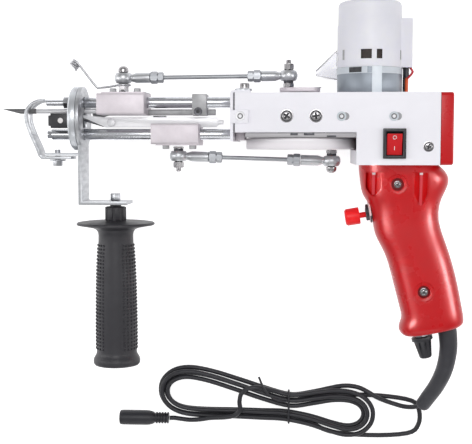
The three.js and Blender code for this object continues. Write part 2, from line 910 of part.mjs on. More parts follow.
function needleSlider() {
  const rear = needleSliderLength - needleSliderFront;
  const body = sliderBlock(needleSliderFront, needleSliderLength, -needleSliderBottom, needleSliderTop);
  const half = sliderWidth / 2 - sliderCorner;
  const lid = block([-needleSliderFront + sliderLidInset, needleSliderTop - sliderLidThickness, -half],
    [rear, needleSliderTop + sliderLidThickness, half]);
  const ends = [-needleSliderFront - overrun, rear + overrun];
  return cut(joined(body, lid),
    rodX(shaftRadius + clearance, ...ends, 0, 0),
    rodX(needleBarRadius + clearance, -needleSliderFront - overrun,
      -needleSliderFront + needleBarSeat + clearance, -needleBarDrop, 0, smallSides),
    block([ends[0], -needleSliderBottom - overrun, -camInset - camWidth - clearance],
      [ends[1], -camTop + clearance, clearance - camInset]));
}

function scissorSlider() {
  const rear = scissorSliderLength - scissorSliderFront;
  const body = sliderBlock(scissorSliderFront, scissorSliderLength, -scissorSliderBottom, -scissorSliderTop);
  const half = sliderWidth / 2 - sliderCorner;
  const lid = block([-scissorSliderFront + sliderLidInset, -scissorSliderBottom - sliderLidThickness, -half],
    [rear, -scissorSliderBottom + sliderLidThickness, half]);
  const ends = [-scissorSliderFront - overrun, rear + overrun];
  return cut(joined(body, lid),
    rodX(shaftRadius + clearance, ...ends, lowerShaftY, 0),
    block([ends[0], -barBottom - clearance, -bladeGap - bladeThickness - clearance],
      [ends[1], -scissorSliderTop + overrun, bladeGap + bladeThickness + clearance]));
}

// A spacer, ball, nut and thread turned as one pin, standing up or hanging down
function ballPin(foot, ball, x, hand, tip) {
  const nutStart = ball + hand * (headHeight / 2 + clearance);
  const nutEnd = nutStart + hand * pinNutHeight;
  const side = (radius, from, to, sides) =>
    rodY(radius, Math.min(from, to), Math.max(from, to), x, 0, sides);
  const sphere = new THREE.SphereGeometry(ballRadius, ballSides, ballBands).translate(x, ball, 0);
  return joined(sphere,
    side(spacerRadius, foot, ball - hand * (headHeight / 2 + clearance), 6),
    side(studRadius, foot, nutEnd + hand * tip, smallSides),
    side(pinNutRadius, nutStart, nutEnd, 6));
}

function needleBar() {
  const end = -needleSliderFront + needleBarSeat;
  return rodX(needleBarRadius, end - needleBarLength, end, -needleBarDrop, 0, smallSides);
}

function needle() {
  const rear = -needleSliderFront + needleBarSeat - needleBarLength - clearance;
  const tip = rear - needleLength;
  const y = -needleBarDrop;
  const tube = cut(rodX(needleRadius, tip, rear, y, 0, 16),
    rodX(needleBore, tip - overrun, rear + overrun, y, 0, smallSides));
  const slant = plateZ([
    [tip - overrun, y + needleRadius], [tip, y + needleRadius],
    [tip + needleSlantLength, y - needleRadius], [tip + needleSlantLength, y - needleRadius - overrun],
    [tip - overrun, y - needleRadius - overrun],
  ], -needleRadius - overrun, needleRadius + overrun);
  return cut(tube, slant);
}

// Yarn guide: a wire bent up to a coiled eye, on a ring round the pin's spacer
function yarnGuide() {
  const x = -needleStudSetBack;
  const y = upperFrontPinRise - guideRingDrop;
  const bendX = x - guideRun;
  const along = new THREE.Vector3(-guideReach, guideRise, 0).normalize();
  const across = new THREE.Vector3(along.y, -along.x, 0);
  const eyeMiddle = new THREE.Vector3(bendX - guideReach, y + guideRise, 0);
  const eyeSteps = 25;
  const eye = Array.from({ length: eyeSteps }, (_, step) => {
    const turns = guideEyeTurns * step / (eyeSteps - 1);
    const turn = 2 * Math.PI * turns;
    return eyeMiddle.clone()
      .addScaledVector(across, guideEyePitch * (guideEyeTurns / 2 - turns))
      .addScaledVector(along, guideEyeRadius * Math.sin(turn))
      .setZ(guideEyeRadius * Math.cos(turn));
  });
  const straight = eye[0].clone().addScaledVector(along, -guideEyeRadius);
  const route = new THREE.CatmullRomCurve3([
    new THREE.Vector3(x - guideRingRadius + guideWireRadius, y, 0),
    new THREE.Vector3(x - guideRun / 2, y - guideDip / 2, 0),
    new THREE.Vector3(bendX, y - guideDip, 0),
    new THREE.Vector3(bendX - guideWireRadius - guideDip, y, 0),
    straight,
    ...eye,
  ], false, 'centripetal');
  const ring = turned([
    [spacerRadius + clearance, y - guideRingHeight / 2], [guideRingRadius, y - guideRingHeight / 2],
    [guideRingRadius, y + guideRingHeight / 2], [spacerRadius + clearance, y + guideRingHeight / 2],
    [spacerRadius + clearance, y - guideRingHeight / 2],
  ], x, 0, roundSides);
  return joined(ring, wire(route, guideWireRadius, 46, 5));
}

// Scissors: a fixed blade on a long bar, and a blade that its tail swings
function bladePivotHole() {
  const reach = bladeGap + bladeThickness + overrun;
  return rodZ(bladePivotRadius + clearance, -reach, reach, -bladePivotX, -bladePivotY, smallSides);
}

function fixedBlade() {
  const far = bladeGap;
  const near = bladeGap + bladeThickness;
  const corner = (barBottom - barTop) / 4;
  const screwY = -(barTop + barBottom) / 2;
  const blade = plateZ([
    [-bladeTip, -fixedTipTop], [-barFront, -barTop], [-barRear - corner, -barTop],
    [-barRear, -barTop - corner], [-barRear, corner - barBottom], [-barRear - corner, -barBottom],
    [-barFront, -barBottom], [-bladeTip, -fixedTipBottom],
  ], far, near);
  const screw = rodX(adjustScrewRadius, -barRear - overrun, adjustScrewLength - barRear, screwY,
    (far + near) / 2, smallSides);
  return cut(joined(blade, screw), bladePivotHole());
}

function movingBlade() {
  const far = -bladeGap - bladeThickness;
  const near = -bladeGap;
  const blade = plateZ([
    [-bladeTip, -movingTipTop], [-bladePivotX - headRadius, -movingTipTop], [-padFront, -tailTop],
    [-tailEnd, -tailTop], [-tailEnd, -tailBottom], [-bladePivotX + headRadius, -movingHeel],
    [-bladePivotX - headRadius, -movingHeel], [-bladeTip, -movingTipBottom],
  ], far, near);
  const pad = block([-padFront, -padBottom, -padDepth], [padLength - padFront, -padTop, near]);
  return cut(joined(blade, pad), bladePivotHole());
}

function bladePivot() {
  const face = bladeGap + bladeThickness + clearance;
  const end = face + bladePivotHead;
  return joined(...[
    [bladePivotRadius, -end, end], [bladePivotHeadRadius, -end, -face], [bladePivotHeadRadius, face, end],
  ].map(([radius, from, to]) => rodZ(radius, from, to, -bladePivotX, -bladePivotY, smallSides)));
}

// Clamp collar and the cam bar that it holds
function clampCollar() {
  const half = collarWidth / 2;
  const rear = collarLength - collarFront;
  const ends = [-collarFront - overrun, rear + overrun];
  return cut(block([-collarFront, -collarBottom, -half], [rear, collarTop, half]),
    rodX(shaftRadius + clearance, ...ends, 0, 0),
    block([ends[0], -camBottom - clearance - overrun, -half - overrun],
      [ends[1], -camTop + clearance, clearance - camInset]));
}

function camBar() {
  const far = -camInset - camWidth;
  return joined(
    plateZ([[-camFront, -camTop], [-camRear, -camTop], [-camRear, -camBottom], [-camFront, -camBottom]],
      far, -camInset),
    plateZ([
      [-camFront, -camTop], [-camRampStart, -camTop], [-camRampStart, -camBottom],
      [camRampDepth - camFront, -camBottom - camRampDepth], [-camFront, -camBottom - camRampDepth],
    ], far, -padDepth - clearance));
}

// Rod ends and tie rods, drawn along X from the front ball
function rodEnd(ball, hand, barrelLength) {
  const half = headHeight / 2;
  const socket = ballRadius + clearance;
  const lip = Math.sqrt(socket * socket - half * half);
  const shoulder = headRadius - headShoulder / 2;
  const inside = Array.from({ length: socketSteps + 1 }, (_, step) => {
    const height = half - headHeight * step / socketSteps;
    return [Math.sqrt(socket * socket - height * height), height];
  });
  const ring = turned([
    [lip, -half], [shoulder, -half], [headRadius, headShoulder - half], [headRadius, half - headShoulder],
    [shoulder, half], ...inside,
  ], ball, 0, roundSides - 4);
  const barrelEnd = barrelStart + barrelLength;
  const shank = turned([
    [0, headRadius - headShoulder], [neckRadius, headRadius - headShoulder],
    [neckRadius, barrelStart - neckLength], [barrelRadius, barrelStart],
    [barrelRadius, barrelEnd], [0, barrelEnd], [0, headRadius - headShoulder],
  ], 0, 0, smallSides + 1).rotateZ(-hand * Math.PI / 2).translate(ball, 0, 0);
  return joined(ring, shank);
}

function tieRod(length, barrelLength) {
  const start = barrelStart + barrelLength + clearance;
  const end = length - start;
  const innerStart = start + lockNutLength;
  const innerEnd = end - lockNutLength;
  return joined(
    rodX(tieRodRadius, start, end, 0, 0, smallSides),
    rodX(lockNutRadius, start, innerStart, 0, 0, 6),
    rodX(lockNutRadius - nutRadiusStep, innerStart, innerStart + stopNutLength, 0, 0, 6),
    rodX(lockNutRadius - nutRadiusStep, innerEnd - stopNutLength, innerEnd, 0, 0, 6),
    rodX(lockNutRadius, innerEnd, end, 0, 0, 6));
}

function linkage(prefix, front, rear, barrelLength) {
  const link = new THREE.Group();
  const length = Math.hypot(rear[0] - front[0], rear[1] - front[1]);
  link.position.set(front[0], front[1], 0);
  link.rotation.z = Math.atan2(rear[1] - front[1], rear[0] - front[0]);
  machine.add(link);
  piece(`${prefix}_front_rod_end`, rodEnd(0, 1, barrelLength), steel, link);
  piece(`${prefix}_rear_rod_end`, rodEnd(length, -1, barrelLength), steel, link);
  piece(`${prefix}_tie_rod`, tieRod(length, barrelLength), polishedSteel, link);
}

// Crank
function crankDisc() {
  const pocket = crankDiscBottom + crankDiscRecess;
  const bore = crankShaftRadius + clearance;
  return turned([
    [bore, crankDiscTop], [crankDiscRadius - crankDiscRim, crankDiscTop],
    [crankDiscRadius, crankDiscTop - crankDiscRim], [crankDiscRadius, crankDiscBottom + crankDiscRim],
    [crankDiscRadius - crankDiscRim, crankDiscBottom], [crankDiscRecessRadius, crankDiscBottom],
    [crankDiscRecessRadius - crankDiscRecess, pocket], [crankDiscHubRadius, pocket],
    [crankDiscHubRadius, crankDiscBottom], [bore, crankDiscBottom], [bore, crankDiscTop],
  ], 0, 0, largeSides + 6);
}

function crankArm() {
  const turn = Math.PI / 2;
  const outline = shapeOf([
    ...circlePoints(armPinRadius, -upperThrow, 0, turn, 3 * turn, 10),
    ...circlePoints(armTailRadius, armTailReach, 0, -turn, turn, 10),
  ]);
  const arm = extruded(outline, armThickness).rotateX(-Math.PI / 2).translate(0, armBottom, 0);
  return cut(arm, rodY(crankShaftRadius + clearance, armBottom - overrun, armTop + overrun, 0, 0));
}

function gearOutline(teeth) {
  const pitchRadius = toothModule * teeth / 2;
  const tooth = 2 * Math.PI / teeth;
  const root = pitchRadius - toothModule * toothDedendumShare;
  const tip = pitchRadius + toothModule * toothAddendumShare;
  const corner = (radius, angle) => [radius * Math.cos(angle), radius * Math.sin(angle)];
  return shapeOf(Array.from({ length: teeth }, (_, index) => {
    const middle = tooth * index;
    const halves = [toothRootShare, toothTipShare].map((share) => tooth * share / 2);
    return [
      corner(root, middle - halves[0]), corner(tip, middle - halves[1]),
      corner(tip, middle + halves[1]), corner(root, middle + halves[0]),
    ];
  }).flat());
}

function gearBlank(teeth, low, high, x, turn) {
  return extruded(gearOutline(teeth), high - low).rotateX(-Math.PI / 2).rotateY(turn).translate(x, low, 0);
}

function driveGear() {
  return cut(
    joined(gearBlank(gearTeeth, gearBottom, gearTop, 0, 0),
      rodY(gearHubRadius, gearTop - gearHubHeight, gearTop + gearHubHeight, 0, 0)),
    rodY(crankShaftRadius + clearance, gearBottom - overrun, gearTop + gearHubHeight + overrun, 0, 0));
}

// Motor
function motorCan() {
  const ringTop = motorFloor + motorRingHeight;
  const canTop = motorFloor + motorCanHeight;
  const bore = motorShaftRadius + clearance;
  return turned([
    [bore, motorFloor - motorBossHeight], [motorBossRadius, motorFloor - motorBossHeight],
    [motorBossRadius, motorFloor], [motorRingRadius, motorFloor], [motorRingRadius, ringTop],
    [motorCanRadius, ringTop], [motorCanRadius, canTop], [motorEndBossRadius, canTop],
    [motorEndBossRadius, canTop + motorEndBossHeight], [bore, canTop + motorEndBossHeight],
    [bore, motorFloor - motorBossHeight],
  ], motorX, 0, largeSides);
}

// The motor's shaft carries the pinion below and the cooling fan above
function motorShaft() {
  const low = motorFloor + motorCanHeight + motorEndBossHeight + clearance;
  const high = low + fanHeight;
  const blades = Array.from({ length: fanBlades }, (_, index) =>
    new THREE.BoxGeometry(fanRadius - fanHubRadius + overrun, fanBladeThickness, fanHeight)
      .rotateX(fanBladePitchAngle * Math.PI / 180)
      .translate((fanRadius + fanHubRadius - overrun) / 2, 0, 0)
      .rotateY(2 * Math.PI * index / fanBlades)
      .translate(motorX, (low + high) / 2, 0));
  return joined(
    rodY(motorShaftRadius, gearBottom, high, motorX, 0, smallSides),
    gearBlank(pinionTeeth, gearBottom, gearTop, motorX, Math.PI / pinionTeeth),
    rodY(fanHubRadius, low, high, motorX, 0), ...blades);
}

function motorCover() {
  const inner = coverRadius - coverWall;
  const upper = coverRadius - coverStepInset;
  const stepY = coverTop - coverStepDrop;
  const round = Array.from({ length: 4 }, (_, step) => {
    const angle = Math.PI / 2 * (step + 1) / 4;
    return [upper - coverRound + coverRound * Math.cos(angle),
      coverTop - coverRound + coverRound * Math.sin(angle)];
  });
  const inside = turned([
    [0, coverFloor - overrun], [inner, coverFloor - overrun], [inner, coverTop - coverRound],
    [inner - coverRound + coverWall, coverTop - coverWall],
    [0, coverTop - coverWall], [0, coverFloor - overrun],
  ], motorX, 0, largeSides);
  const shell = turned([
    [0, coverFloor], [coverRadius, coverFloor], [coverRadius, stepY], [upper, stepY],
    [upper, coverTop - coverRound], ...round, [0, coverTop], [0, coverFloor],
  ], motorX, 0, largeSides);
  const boxTop = coverFloor + terminalBoxHeight;
  const boxEnd = motorX + coverRadius + terminalBoxReach;
  const half = terminalBoxWidth / 2;
  const wall = terminalBoxWall;
  const low = coverFloor + windowLift;
  const high = low + windowHeight;
  const through = coverRadius + overrun;
  const window = (offset, length) => block([motorX + offset - length / 2, low, -through],
    [motorX + offset + length / 2, high, through]);
  return cut(
    joined(shell, block([motorX, coverFloor, -half], [boxEnd, boxTop, half])),
    block([motorX + inner, coverFloor - overrun, wall - half], [boxEnd - wall, boxTop - wall, half - wall]),
    inside,
    window(wideWindowOffset, wideWindowLength), window(narrowWindowOffset, narrowWindowLength),
    block([motorX - through, low, -edgeWindowWidth / 2], [motorX, high, edgeWindowWidth / 2]));
}

function leadX() {
  return motorX + coverRadius + leadSetBack;
}

function deflectorRing(x, y, z, height, width) {
  return Array.from({ length: deflectorSides }, (_, side) => {
    const angle = 2 * Math.PI * side / deflectorSides;
    return new THREE.Vector3(x, y + height * Math.cos(angle), z + width * Math.sin(angle));
  });
}

function deflectorBody(inset, mouthX) {
  const rootX = motorX - coverRadius;
  const rootY = motorFloor + deflectorRootLift;
  const root = [rootY, -deflectorRootOffset, deflectorRootHeight - inset, deflectorRootWidth - inset];
  return loft([
    deflectorRing(motorX, ...root),
    deflectorRing(rootX, ...root),
    deflectorRing(mouthX, rootY - deflectorMouthDrop, -deflectorMouthOffset,
      deflectorMouthHeight - inset, deflectorMouthWidth - inset),
  ]);
}

function airDeflector() {
  const mouthX = motorX - coverRadius - deflectorReach;
  return cut(deflectorBody(0, mouthX), deflectorBody(deflectorWall, mouthX - overrun),
    rodY(motorRingRadius + clearance, motorFloor - overrun, coverTop, motorX, 0, largeSides));
}

// A lead hangs from the terminal box and goes down through the housing's top
function motorLead(hand, bulge) {
  const x = leadX();
  const z = hand * leadSpacing / 2;
  const top = coverFloor + leadTail;
  const low = housing.top - leadTail;
  const middle = (coverFloor + housing.top) / 2;
  const route = new THREE.CatmullRomCurve3([
    new THREE.Vector3(x, top, z), new THREE.Vector3(x, coverFloor, z),
    new THREE.Vector3(x + bulge, middle, z), new THREE.Vector3(x, housing.top + leadTail / 2, z),
    new THREE.Vector3(x, low, z),
  ], false, 'centripetal');
  return wire(route, leadRadius, 16, 8);
}

// Rear cap: a shallow moulded cover with a lip that enters the housing
function rearCap() {
  const { rear, top, rearBottom, side } = housing;
  const face = rear + clearance;
  const outline = roundedRectangle(-side, side, rearBottom, top, capCorner);
  const outer = plateX(outline, face, face + capThickness - capEdge, {
    bevelEnabled: true, bevelThickness: capEdge, bevelSize: capEdge, bevelOffset: -capEdge, bevelSegments: 3,
  });
  const trimmed = cut(outer, block([face - capThickness, rearBottom - overrun, -side - overrun],
    [face, top + overrun, side + overrun]));
  const fit = housingWall + clearance;
  const rim = (inset, from, to) => block(
    [from, rearBottom + inset, inset - side], [to, top - inset, side - inset]);
  const lip = cut(rim(fit, face - capLipDepth, face + capWall),
    rim(fit + capLipThickness, face - capLipDepth - overrun, face + capWall + overrun));
  const hollow = rim(fit + capLipThickness, face - overrun, face + capThickness - capWall);
  return joined(cut(trimmed, hollow), lip);
}

// Rocker switch
function rockerPlace() {
  return [housing.rear - rockerSetIn, housing.top - rockerDrop, housing.side + clearance];
}

function rockerBezel() {
  const [x, y, low] = rockerPlace();
  const high = low + bezelThickness;
  const halfWide = bezelWidth / 2;
  const halfTall = bezelHeight / 2;
  const bodyWide = halfWide - switchBodyInset;
  const bodyTall = halfTall - switchBodyInset;
  return cut(
    joined(block([x - halfWide, y - halfTall, low], [x + halfWide, y + halfTall, high]),
      block([x - bodyWide, y - bodyTall, low - switchBodyDepth],
        [x + bodyWide, y + bodyTall, low + overrun])),
    block([x - halfWide + bezelFrame, y - halfTall + bezelFrame, high - switchPocketDepth],
      [x + halfWide - bezelFrame, y + halfTall - bezelFrame, high + overrun]));
}

function rocker() {
  const [x, y, low] = rockerPlace();
  const outline = shapeOf([
    [rockerReach, rockerCrest], [0, rockerCrest - rockerDip], [-rockerReach, rockerCrest],
    [-rockerKeelReach, -rockerKeel], [rockerKeelReach, -rockerKeel],
  ]);
  return extruded(outline, rockerWidth)
    .rotateX(Math.PI / 2).rotateZ(Math.PI / 2)
    .rotateX(rockerTilt * Math.PI / 180)
    .translate(x - rockerWidth / 2, y, low - rockerPivotDepth);
}

// The grip is laid out in shares: across in the housing's rear length from its step, down in the
// grip's length from the housing's bottom, and deep in the half depth at the grip's top
// Each level from the top down: left edge across and down, right edge across and down, half depth
const gripLevelShares = [
  [0.0714, 0.0024, 1.0643, 0.0024, 1], [0.0732, 0.0362, 1.1607, 0.0362, 1],
  [0.0929, 0.0845, 1.2179, 0.0845, 0.98], [0.1179, 0.1448, 1.1768, 0.1448, 0.95],
  [0.1714, 0.1963, 1.1179, 0.1931, 0.91], [0.2304, 0.2397, 1.0839, 0.2494, 0.875],
  [0.2536, 0.3178, 1.0821, 0.3178, 0.85], [0.2786, 0.4023, 1.125, 0.3862, 0.85],
  [0.3536, 0.4626, 1.1857, 0.4586, 0.85], [0.4375, 0.535, 1.2393, 0.527, 0.85],
  [0.5, 0.6356, 1.2964, 0.6154, 0.85], [0.5679, 0.7562, 1.3464, 0.708, 0.85],
  [0.6321, 0.8592, 1.3911, 0.8109, 0.85], [0.6411, 0.8922, 1.4179, 0.8648, 0.85],
  [0.6054, 0.93, 1.4268, 0.901, 0.83], [0.6018, 0.959, 1.4143, 0.9139, 0.8],
  [0.6429, 0.9863, 1.3839, 0.9268, 0.74], [0.7125, 1, 1.3446, 0.9356, 0.65],
];
const gripFloorLevels = 2;

// Recesses in the near face of the grip: left, right, bottom and top edges
const gripScoopShares = [
  [0.1429, 0.2321, 0.185, 0.0402], [0.2732, 0.3571, 0.185, 0.0402],
  [0.7321, 0.7964, 0.2253, 0.0442], [0.8482, 0.9536, 0.2253, 0.0442],
];
const gripScoopDepth = 1.4;
const gripScrewShares = [[0.5375, 0.1118, 0.96], [0.8857, 0.7216, 0.85]];
const gripScrewRecessRadius = 6.4;
const gripScrewRecessDepth = 2.2;

function gripPlace([across, down]) {
  return [housing.step + across * housingRearLength, housing.rearBottom - down * gripLength];
}

const gripStations = gripLevelShares.map(([leftAcross, leftDown, rightAcross, rightDown, deep]) => {
  const left = new THREE.Vector3(...gripPlace([leftAcross, leftDown]), 0);
  const right = new THREE.Vector3(...gripPlace([rightAcross, rightDown]), 0);
  return {
    middle: left.clone().add(right).divideScalar(2),
    along: right.clone().sub(left).normalize(),
    halfWidth: left.distanceTo(right) / 2,
    depth: deep * gripTopHalfDepth,
  };
});

function rounded(value) {
  return Math.sign(value) * Math.abs(value) ** (2 / gripSquareness);
}

function gripRing({ middle, along, halfWidth, depth }, inset) {
  return Array.from({ length: gripRingPoints }, (_, point) => {
    const angle = 2 * Math.PI * (point + 0.5) / gripRingPoints;
    return middle.clone()
      .addScaledVector(along, (halfWidth - inset) * rounded(Math.cos(angle)))
      .setZ((depth - inset) * rounded(Math.sin(angle)));
  });
}

function atTrigger(geometry) {
  return geometry.rotateZ(buttonTilt * Math.PI / 180).translate(...gripPlace(buttonAxisShares), 0);
}

function atKnob(geometry) {
  return geometry.rotateZ(knobTilt * Math.PI / 180).translate(...gripPlace(knobAxisShares), 0);
}

function atSleeve(geometry) {
  return geometry.rotateZ(knobTilt * Math.PI / 180).translate(...gripPlace(sleeveAxisShares), 0);
}

function gripPost(x, y, face, hand) {
  const end = hand * (face - gripScrewRecessDepth / 2);
  return rodZ(gripScrewRecessRadius + gripWall / 2, Math.min(0, end), Math.max(0, end), x, y, smallSides);
}

function gripRecesses(screws) {
  const floor = gripTopHalfDepth - gripScoopDepth * 2;
  const scoops = gripScoopShares.map(([left, right, low, high]) => block(
    [...gripPlace([left, low]), floor], [...gripPlace([right, high]), gripTopHalfDepth + overrun]));
  return [...scoops, ...screws.map(([x, y, face]) =>
    rodZ(gripScrewRecessRadius, face - gripScrewRecessDepth, face + gripWall, x, y))];
}

function gripHalf(hand) {
  const outer = loft(gripStations.map((station) => gripRing(station, 0)));
  const aboveMiddle = gripStations[0].middle.clone().setY(housing.rearBottom + overrun);
  const above = { ...gripStations[0], middle: aboveMiddle };
  const levels = gripStations.slice(0, -gripFloorLevels).filter((_, level) => level % 2 === 1);
  const inner = loft([above, ...levels].map((station) => gripRing(station, gripWall)));
  const screws = gripScrewShares.map(([across, down, deep]) =>
    [...gripPlace([across, down]), deep * gripTopHalfDepth]);
  const posts = screws.map((screw) => gripPost(...screw, hand));
  const seam = hand * gripSeam;
  const far = hand * gripTopHalfDepth * 2;
  const side = block([0, housing.rearBottom - gripLength * 2, Math.min(seam, far)],
    [housing.rear + housingRearLength, housing.rearBottom + overrun, Math.max(seam, far)]);
  const recesses = hand < 0 ? [] : gripRecesses(screws);
  const bores = screws.map(([x, y]) =>
    rodZ(gripBossBore, -gripTopHalfDepth + gripWall, gripTopHalfDepth, x, y, smallSides));
  return cut(common(joined(cut(outer, inner), ...posts), side), ...recesses, ...bores,
    atTrigger(rodX(triggerBarrelRadius + clearance, -gripHalfDepth, gripHalfDepth / 2, 0, 0)),
    atKnob(rodY(controlBushRadius + clearance, -overrun, gripHalfDepth, 0, 0)),
    atSleeve(rodY(sleeveNeckRadius + clearance, -gripHalfDepth, gripHalfDepth, 0, 0)));
}

// Trigger button: its cap stands off the grip and its plunger runs in the switch
function triggerButton() {
  const back = -buttonStand;
  const front = back - buttonLength;
  return atTrigger(joined(
    rodX(buttonRadius - buttonRound, front, front + buttonRound, 0, 0, roundSides, buttonRadius),
    rodX(buttonRadius, front + buttonRound, back, 0, 0),
    rodX(plungerRadius, back - overrun, back + plungerLength, 0, 0, smallSides)));
}

function triggerSwitch() {
  const washerBack = -2 * clearance;
  const washerFront = washerBack - triggerWasherThickness;
  const nutFront = washerFront - triggerNutThickness;
  const bodyFront = gripWall + triggerBodyGap;
  const half = triggerBodyHeight / 2;
  const boreEnd = plungerLength + buttonTravel - buttonStand + clearance;
  return atTrigger(cut(
    joined(
      rodX(triggerWasherRadius, washerFront, washerBack, 0, 0),
      rodX(triggerNutRadius, nutFront, washerFront, 0, 0, 6),
      rodX(triggerBarrelRadius, washerFront, bodyFront + overrun, 0, 0),
      block([bodyFront, -half, -triggerBodyWidth / 2],
        [bodyFront + triggerBodyLength, half, triggerBodyWidth / 2])),
    rodX(plungerRadius + clearance, nutFront - overrun, boreEnd, 0, 0, smallSides)));
}

// Speed knob and the control that it turns
function speedKnob() {
  const top = -clearance - controlNutThickness - clearance;
  const tip = top - knobLength;
  const body = turned([
    [0, top], [knobFlangeRadius, top], [knobFlangeRadius, top - knobFlangeHeight],
    [knobRootRadius, top - knobFlangeHeight], [knobTipRadius, tip + knobTipRound],
    [knobTipRadius - knobTipRound, tip], [0, tip], [0, top],
  ]);
  const flutes = Array.from({ length: knobFlutes }, (_, index) => {
    const angle = 2 * Math.PI * index / knobFlutes;
    return rodY(knobFluteRadius, tip - overrun, top - knobFlangeHeight - overrun,
      (knobTipRadius + knobRootRadius) / 2 * Math.cos(angle),
      (knobTipRadius + knobRootRadius) / 2 * Math.sin(angle), 6);
  });
  return atKnob(cut(body, ...flutes, rodY(knobBore, top - knobBoreDepth, top + overrun, 0, 0)));
}

function speedControl() {
  const nutLow = -clearance - controlNutThickness;
  const shaftEndY = -clearance * 2 - controlNutThickness - knobBoreDepth + overrun;
  return atKnob(joined(
    rodY(controlNutRadius, nutLow, -clearance, 0, 0, 6),
    rodY(controlBushRadius, nutLow, controlFloor + overrun, 0, 0),
    rodY(controlShaftRadius, shaftEndY, nutLow + overrun, 0, 0),
    rodY(controlBodyRadius, controlFloor, controlFloor + controlBodyHeight, 0, 0)));
}

// Cord sleeve: a collar inside the grip, and a tapered tail that bends towards the table
const sleeveAxisShares = [1.2143, 0.9477];
const sleeveNeckRadius = 4.6;
const sleeveFloor = 4.4;
// Across and down as the grip is laid out, and towards the table in the housing's half depth
const sleeveRouteShares = [
  [1.2161, 0.9509, 0], [1.2321, 0.9895, 0], [1.2429, 1.078, 0.0293],
  [1.2107, 1.1947, 0.1268], [1.1357, 1.3033, 0.2927], [1.0268, 1.4079, 0.5122],
];

function curveThrough(points) {
  const route = points.map((point) => new THREE.Vector3(...point));
  return new THREE.CatmullRomCurve3(route, false, 'centripetal');
}

function sleeveCurve() {
  return curveThrough(sleeveRouteShares.map(([across, down, low]) =>
    [...gripPlace([across, down]), -low * housing.side]));
}

function cordSleeve() {
  const tail = taperedTube(sleeveCurve(), sleeveTopRadius, sleeveEndRadius, sleeveSteps, sleeveSides);
  const collar = atSleeve(joined(
    rodY(sleeveNeckRadius, -sleeveCollarHeight, sleeveFloor + overrun, 0, 0),
    rodY(sleeveCollarRadius, sleeveFloor, sleeveFloor + sleeveCollarHeight, 0, 0)));
  return joined(tail, collar);
}

// Cord: one lead from the sleeve, a hank held by a tie, and a tail to the connector
const cordRadius = 1.75;
const cordSides = 6;
const leadSides = 8;
const leadSteps = 24;
const hankTurns = 4;
const hankSteps = 24;
const laneSpacing = 4.35;
const layerHeight = 4.1;
const layerClimbStart = 1.93;
const layerClimbTurns = 0.2;
const floorLift = 0.1;
const tieX = -8.6;
const tieLift = 1.8;
const tieSpread = 30;
const tieWire = 1.4;
const tieCorner = 3.2;
const tieHalfHeight = 12.9;
const tieRise = 11.1;
const tieMiddleY = -230.6;
const tieEnd = [[-8.6, -224, -30.5], [-14, -220, -29.4], [-22, -214.5, -29.4], [-31, -209, -30.5]];
const longLoopReach = 38.5;
const longLoopStart = 23;
const longLoopRun = 26;
const longLoopDrop = 3;
const longLoopEase = 11;
const longLoopMiddleY = -230;
const tailTurns = 0.07;
const hankOutline = [
  [10, -223.6], [-8.6, -225.5], [-30, -219.8], [-52, -212.9], [-76, -206.2], [-91, -205.6],
  [-101.3, -210.6], [-105, -219.5], [-101.5, -228.4], [-92.4, -234.2], [-76, -236.3],
  [-50, -236.6], [-28, -236.9], [-8.6, -237.5], [12, -242], [28, -247.3], [40, -248.9],
  [49, -244], [52.3, -235.6], [48.7, -227.4], [39.5, -222.6], [26, -221.6],
];
const tailRoute = [
  [-27, -215.9, -31.2], [-35, -216.8, -29.6], [-43, -222, -29.6], [-50, -229, -30], [-56, -235.5, -30.2],
  [-62, -240.5, -31.2], [-69, -243.6, -35], [-76, -243.8, -38.2], [-84, -242.8, -39.1],
  [-91, -241.6, -38], [-96.8, -241, -35.5], [-100.5, -241, -35.2],
];
const leadRoute = [
  [93, -222.1, -23.3], [90, -225.9, -27.4], [84.8, -228.4, -31.6], [78.2, -228.8, -34.9],
  [71.2, -227.2, -36.4], [64.5, -224.9, -36], [58, -221.9, -35], [51.8, -218.5, -36.5],
  [45.6, -215.9, -38.6], [38.5, -214.6, -39.1],
  [31, -214.8, -39], [23, -216.3, -38.5],
];
const connectorX = -139.2;
const connectorY = -241;
const connectorZ = -35.2;
const connectorRadius = 5.7;
const connectorBody = 24;
const connectorTaper = 3;
const connectorRibRadius = 4.4;
const connectorGrooveRadius = 3.5;
const connectorRibs = 5;
const connectorRibPitch = 2.2;
const connectorBore = 2.75;
const connectorBoreDepth = 9.5;
const connectorPinRadius = 1;

const hankCurve = new THREE.CatmullRomCurve3(
  hankOutline.map(([x, y]) => new THREE.Vector3(x, y, 0)), true, 'catmullrom');

function smooth(value) {
  const share = Math.min(Math.max(value, 0), 1);
  return share * share * (3 - 2 * share);
}

// The cord's lane moves in over the lower layer's turns and out over the upper layer's
function hankPoint(turn) {
  const share = turn - Math.floor(turn);
  const point = hankCurve.getPoint(share);
  const along = hankCurve.getTangent(share).normalize();
  const half = hankTurns / 2;
  const lane = turn < half ? half / 2 - turn : turn - half * 1.5;
  point.x += along.y * lane * laneSpacing;
  point.y -= along.x * lane * laneSpacing;
  if (turn > 0.5 && turn < 1) {
    point.y -= longLoopDrop * smooth((point.x - longLoopStart + longLoopEase) / longLoopEase)
      * smooth((longLoopMiddleY - point.y) / longLoopEase);
    point.x += longLoopReach * smooth((point.x - longLoopStart) / longLoopRun);
  }
  point.z = -housing.side + cordRadius + floorLift
    + tieLift * Math.exp(-(((point.x - tieX) / tieSpread) ** 2))
    + layerHeight * smooth((turn - layerClimbStart) / layerClimbTurns);
  return point;
}

function hankPoints() {
  const loops = Array.from({ length: hankTurns * hankSteps + 1 }, (_, step) => hankPoint(step / hankSteps));
  const onward = [1, 2, 3].map((step) => hankPoint(hankTurns + tailTurns * step / 3));
  return [...loops, ...onward, ...tailRoute.map((point) => new THREE.Vector3(...point))];
}

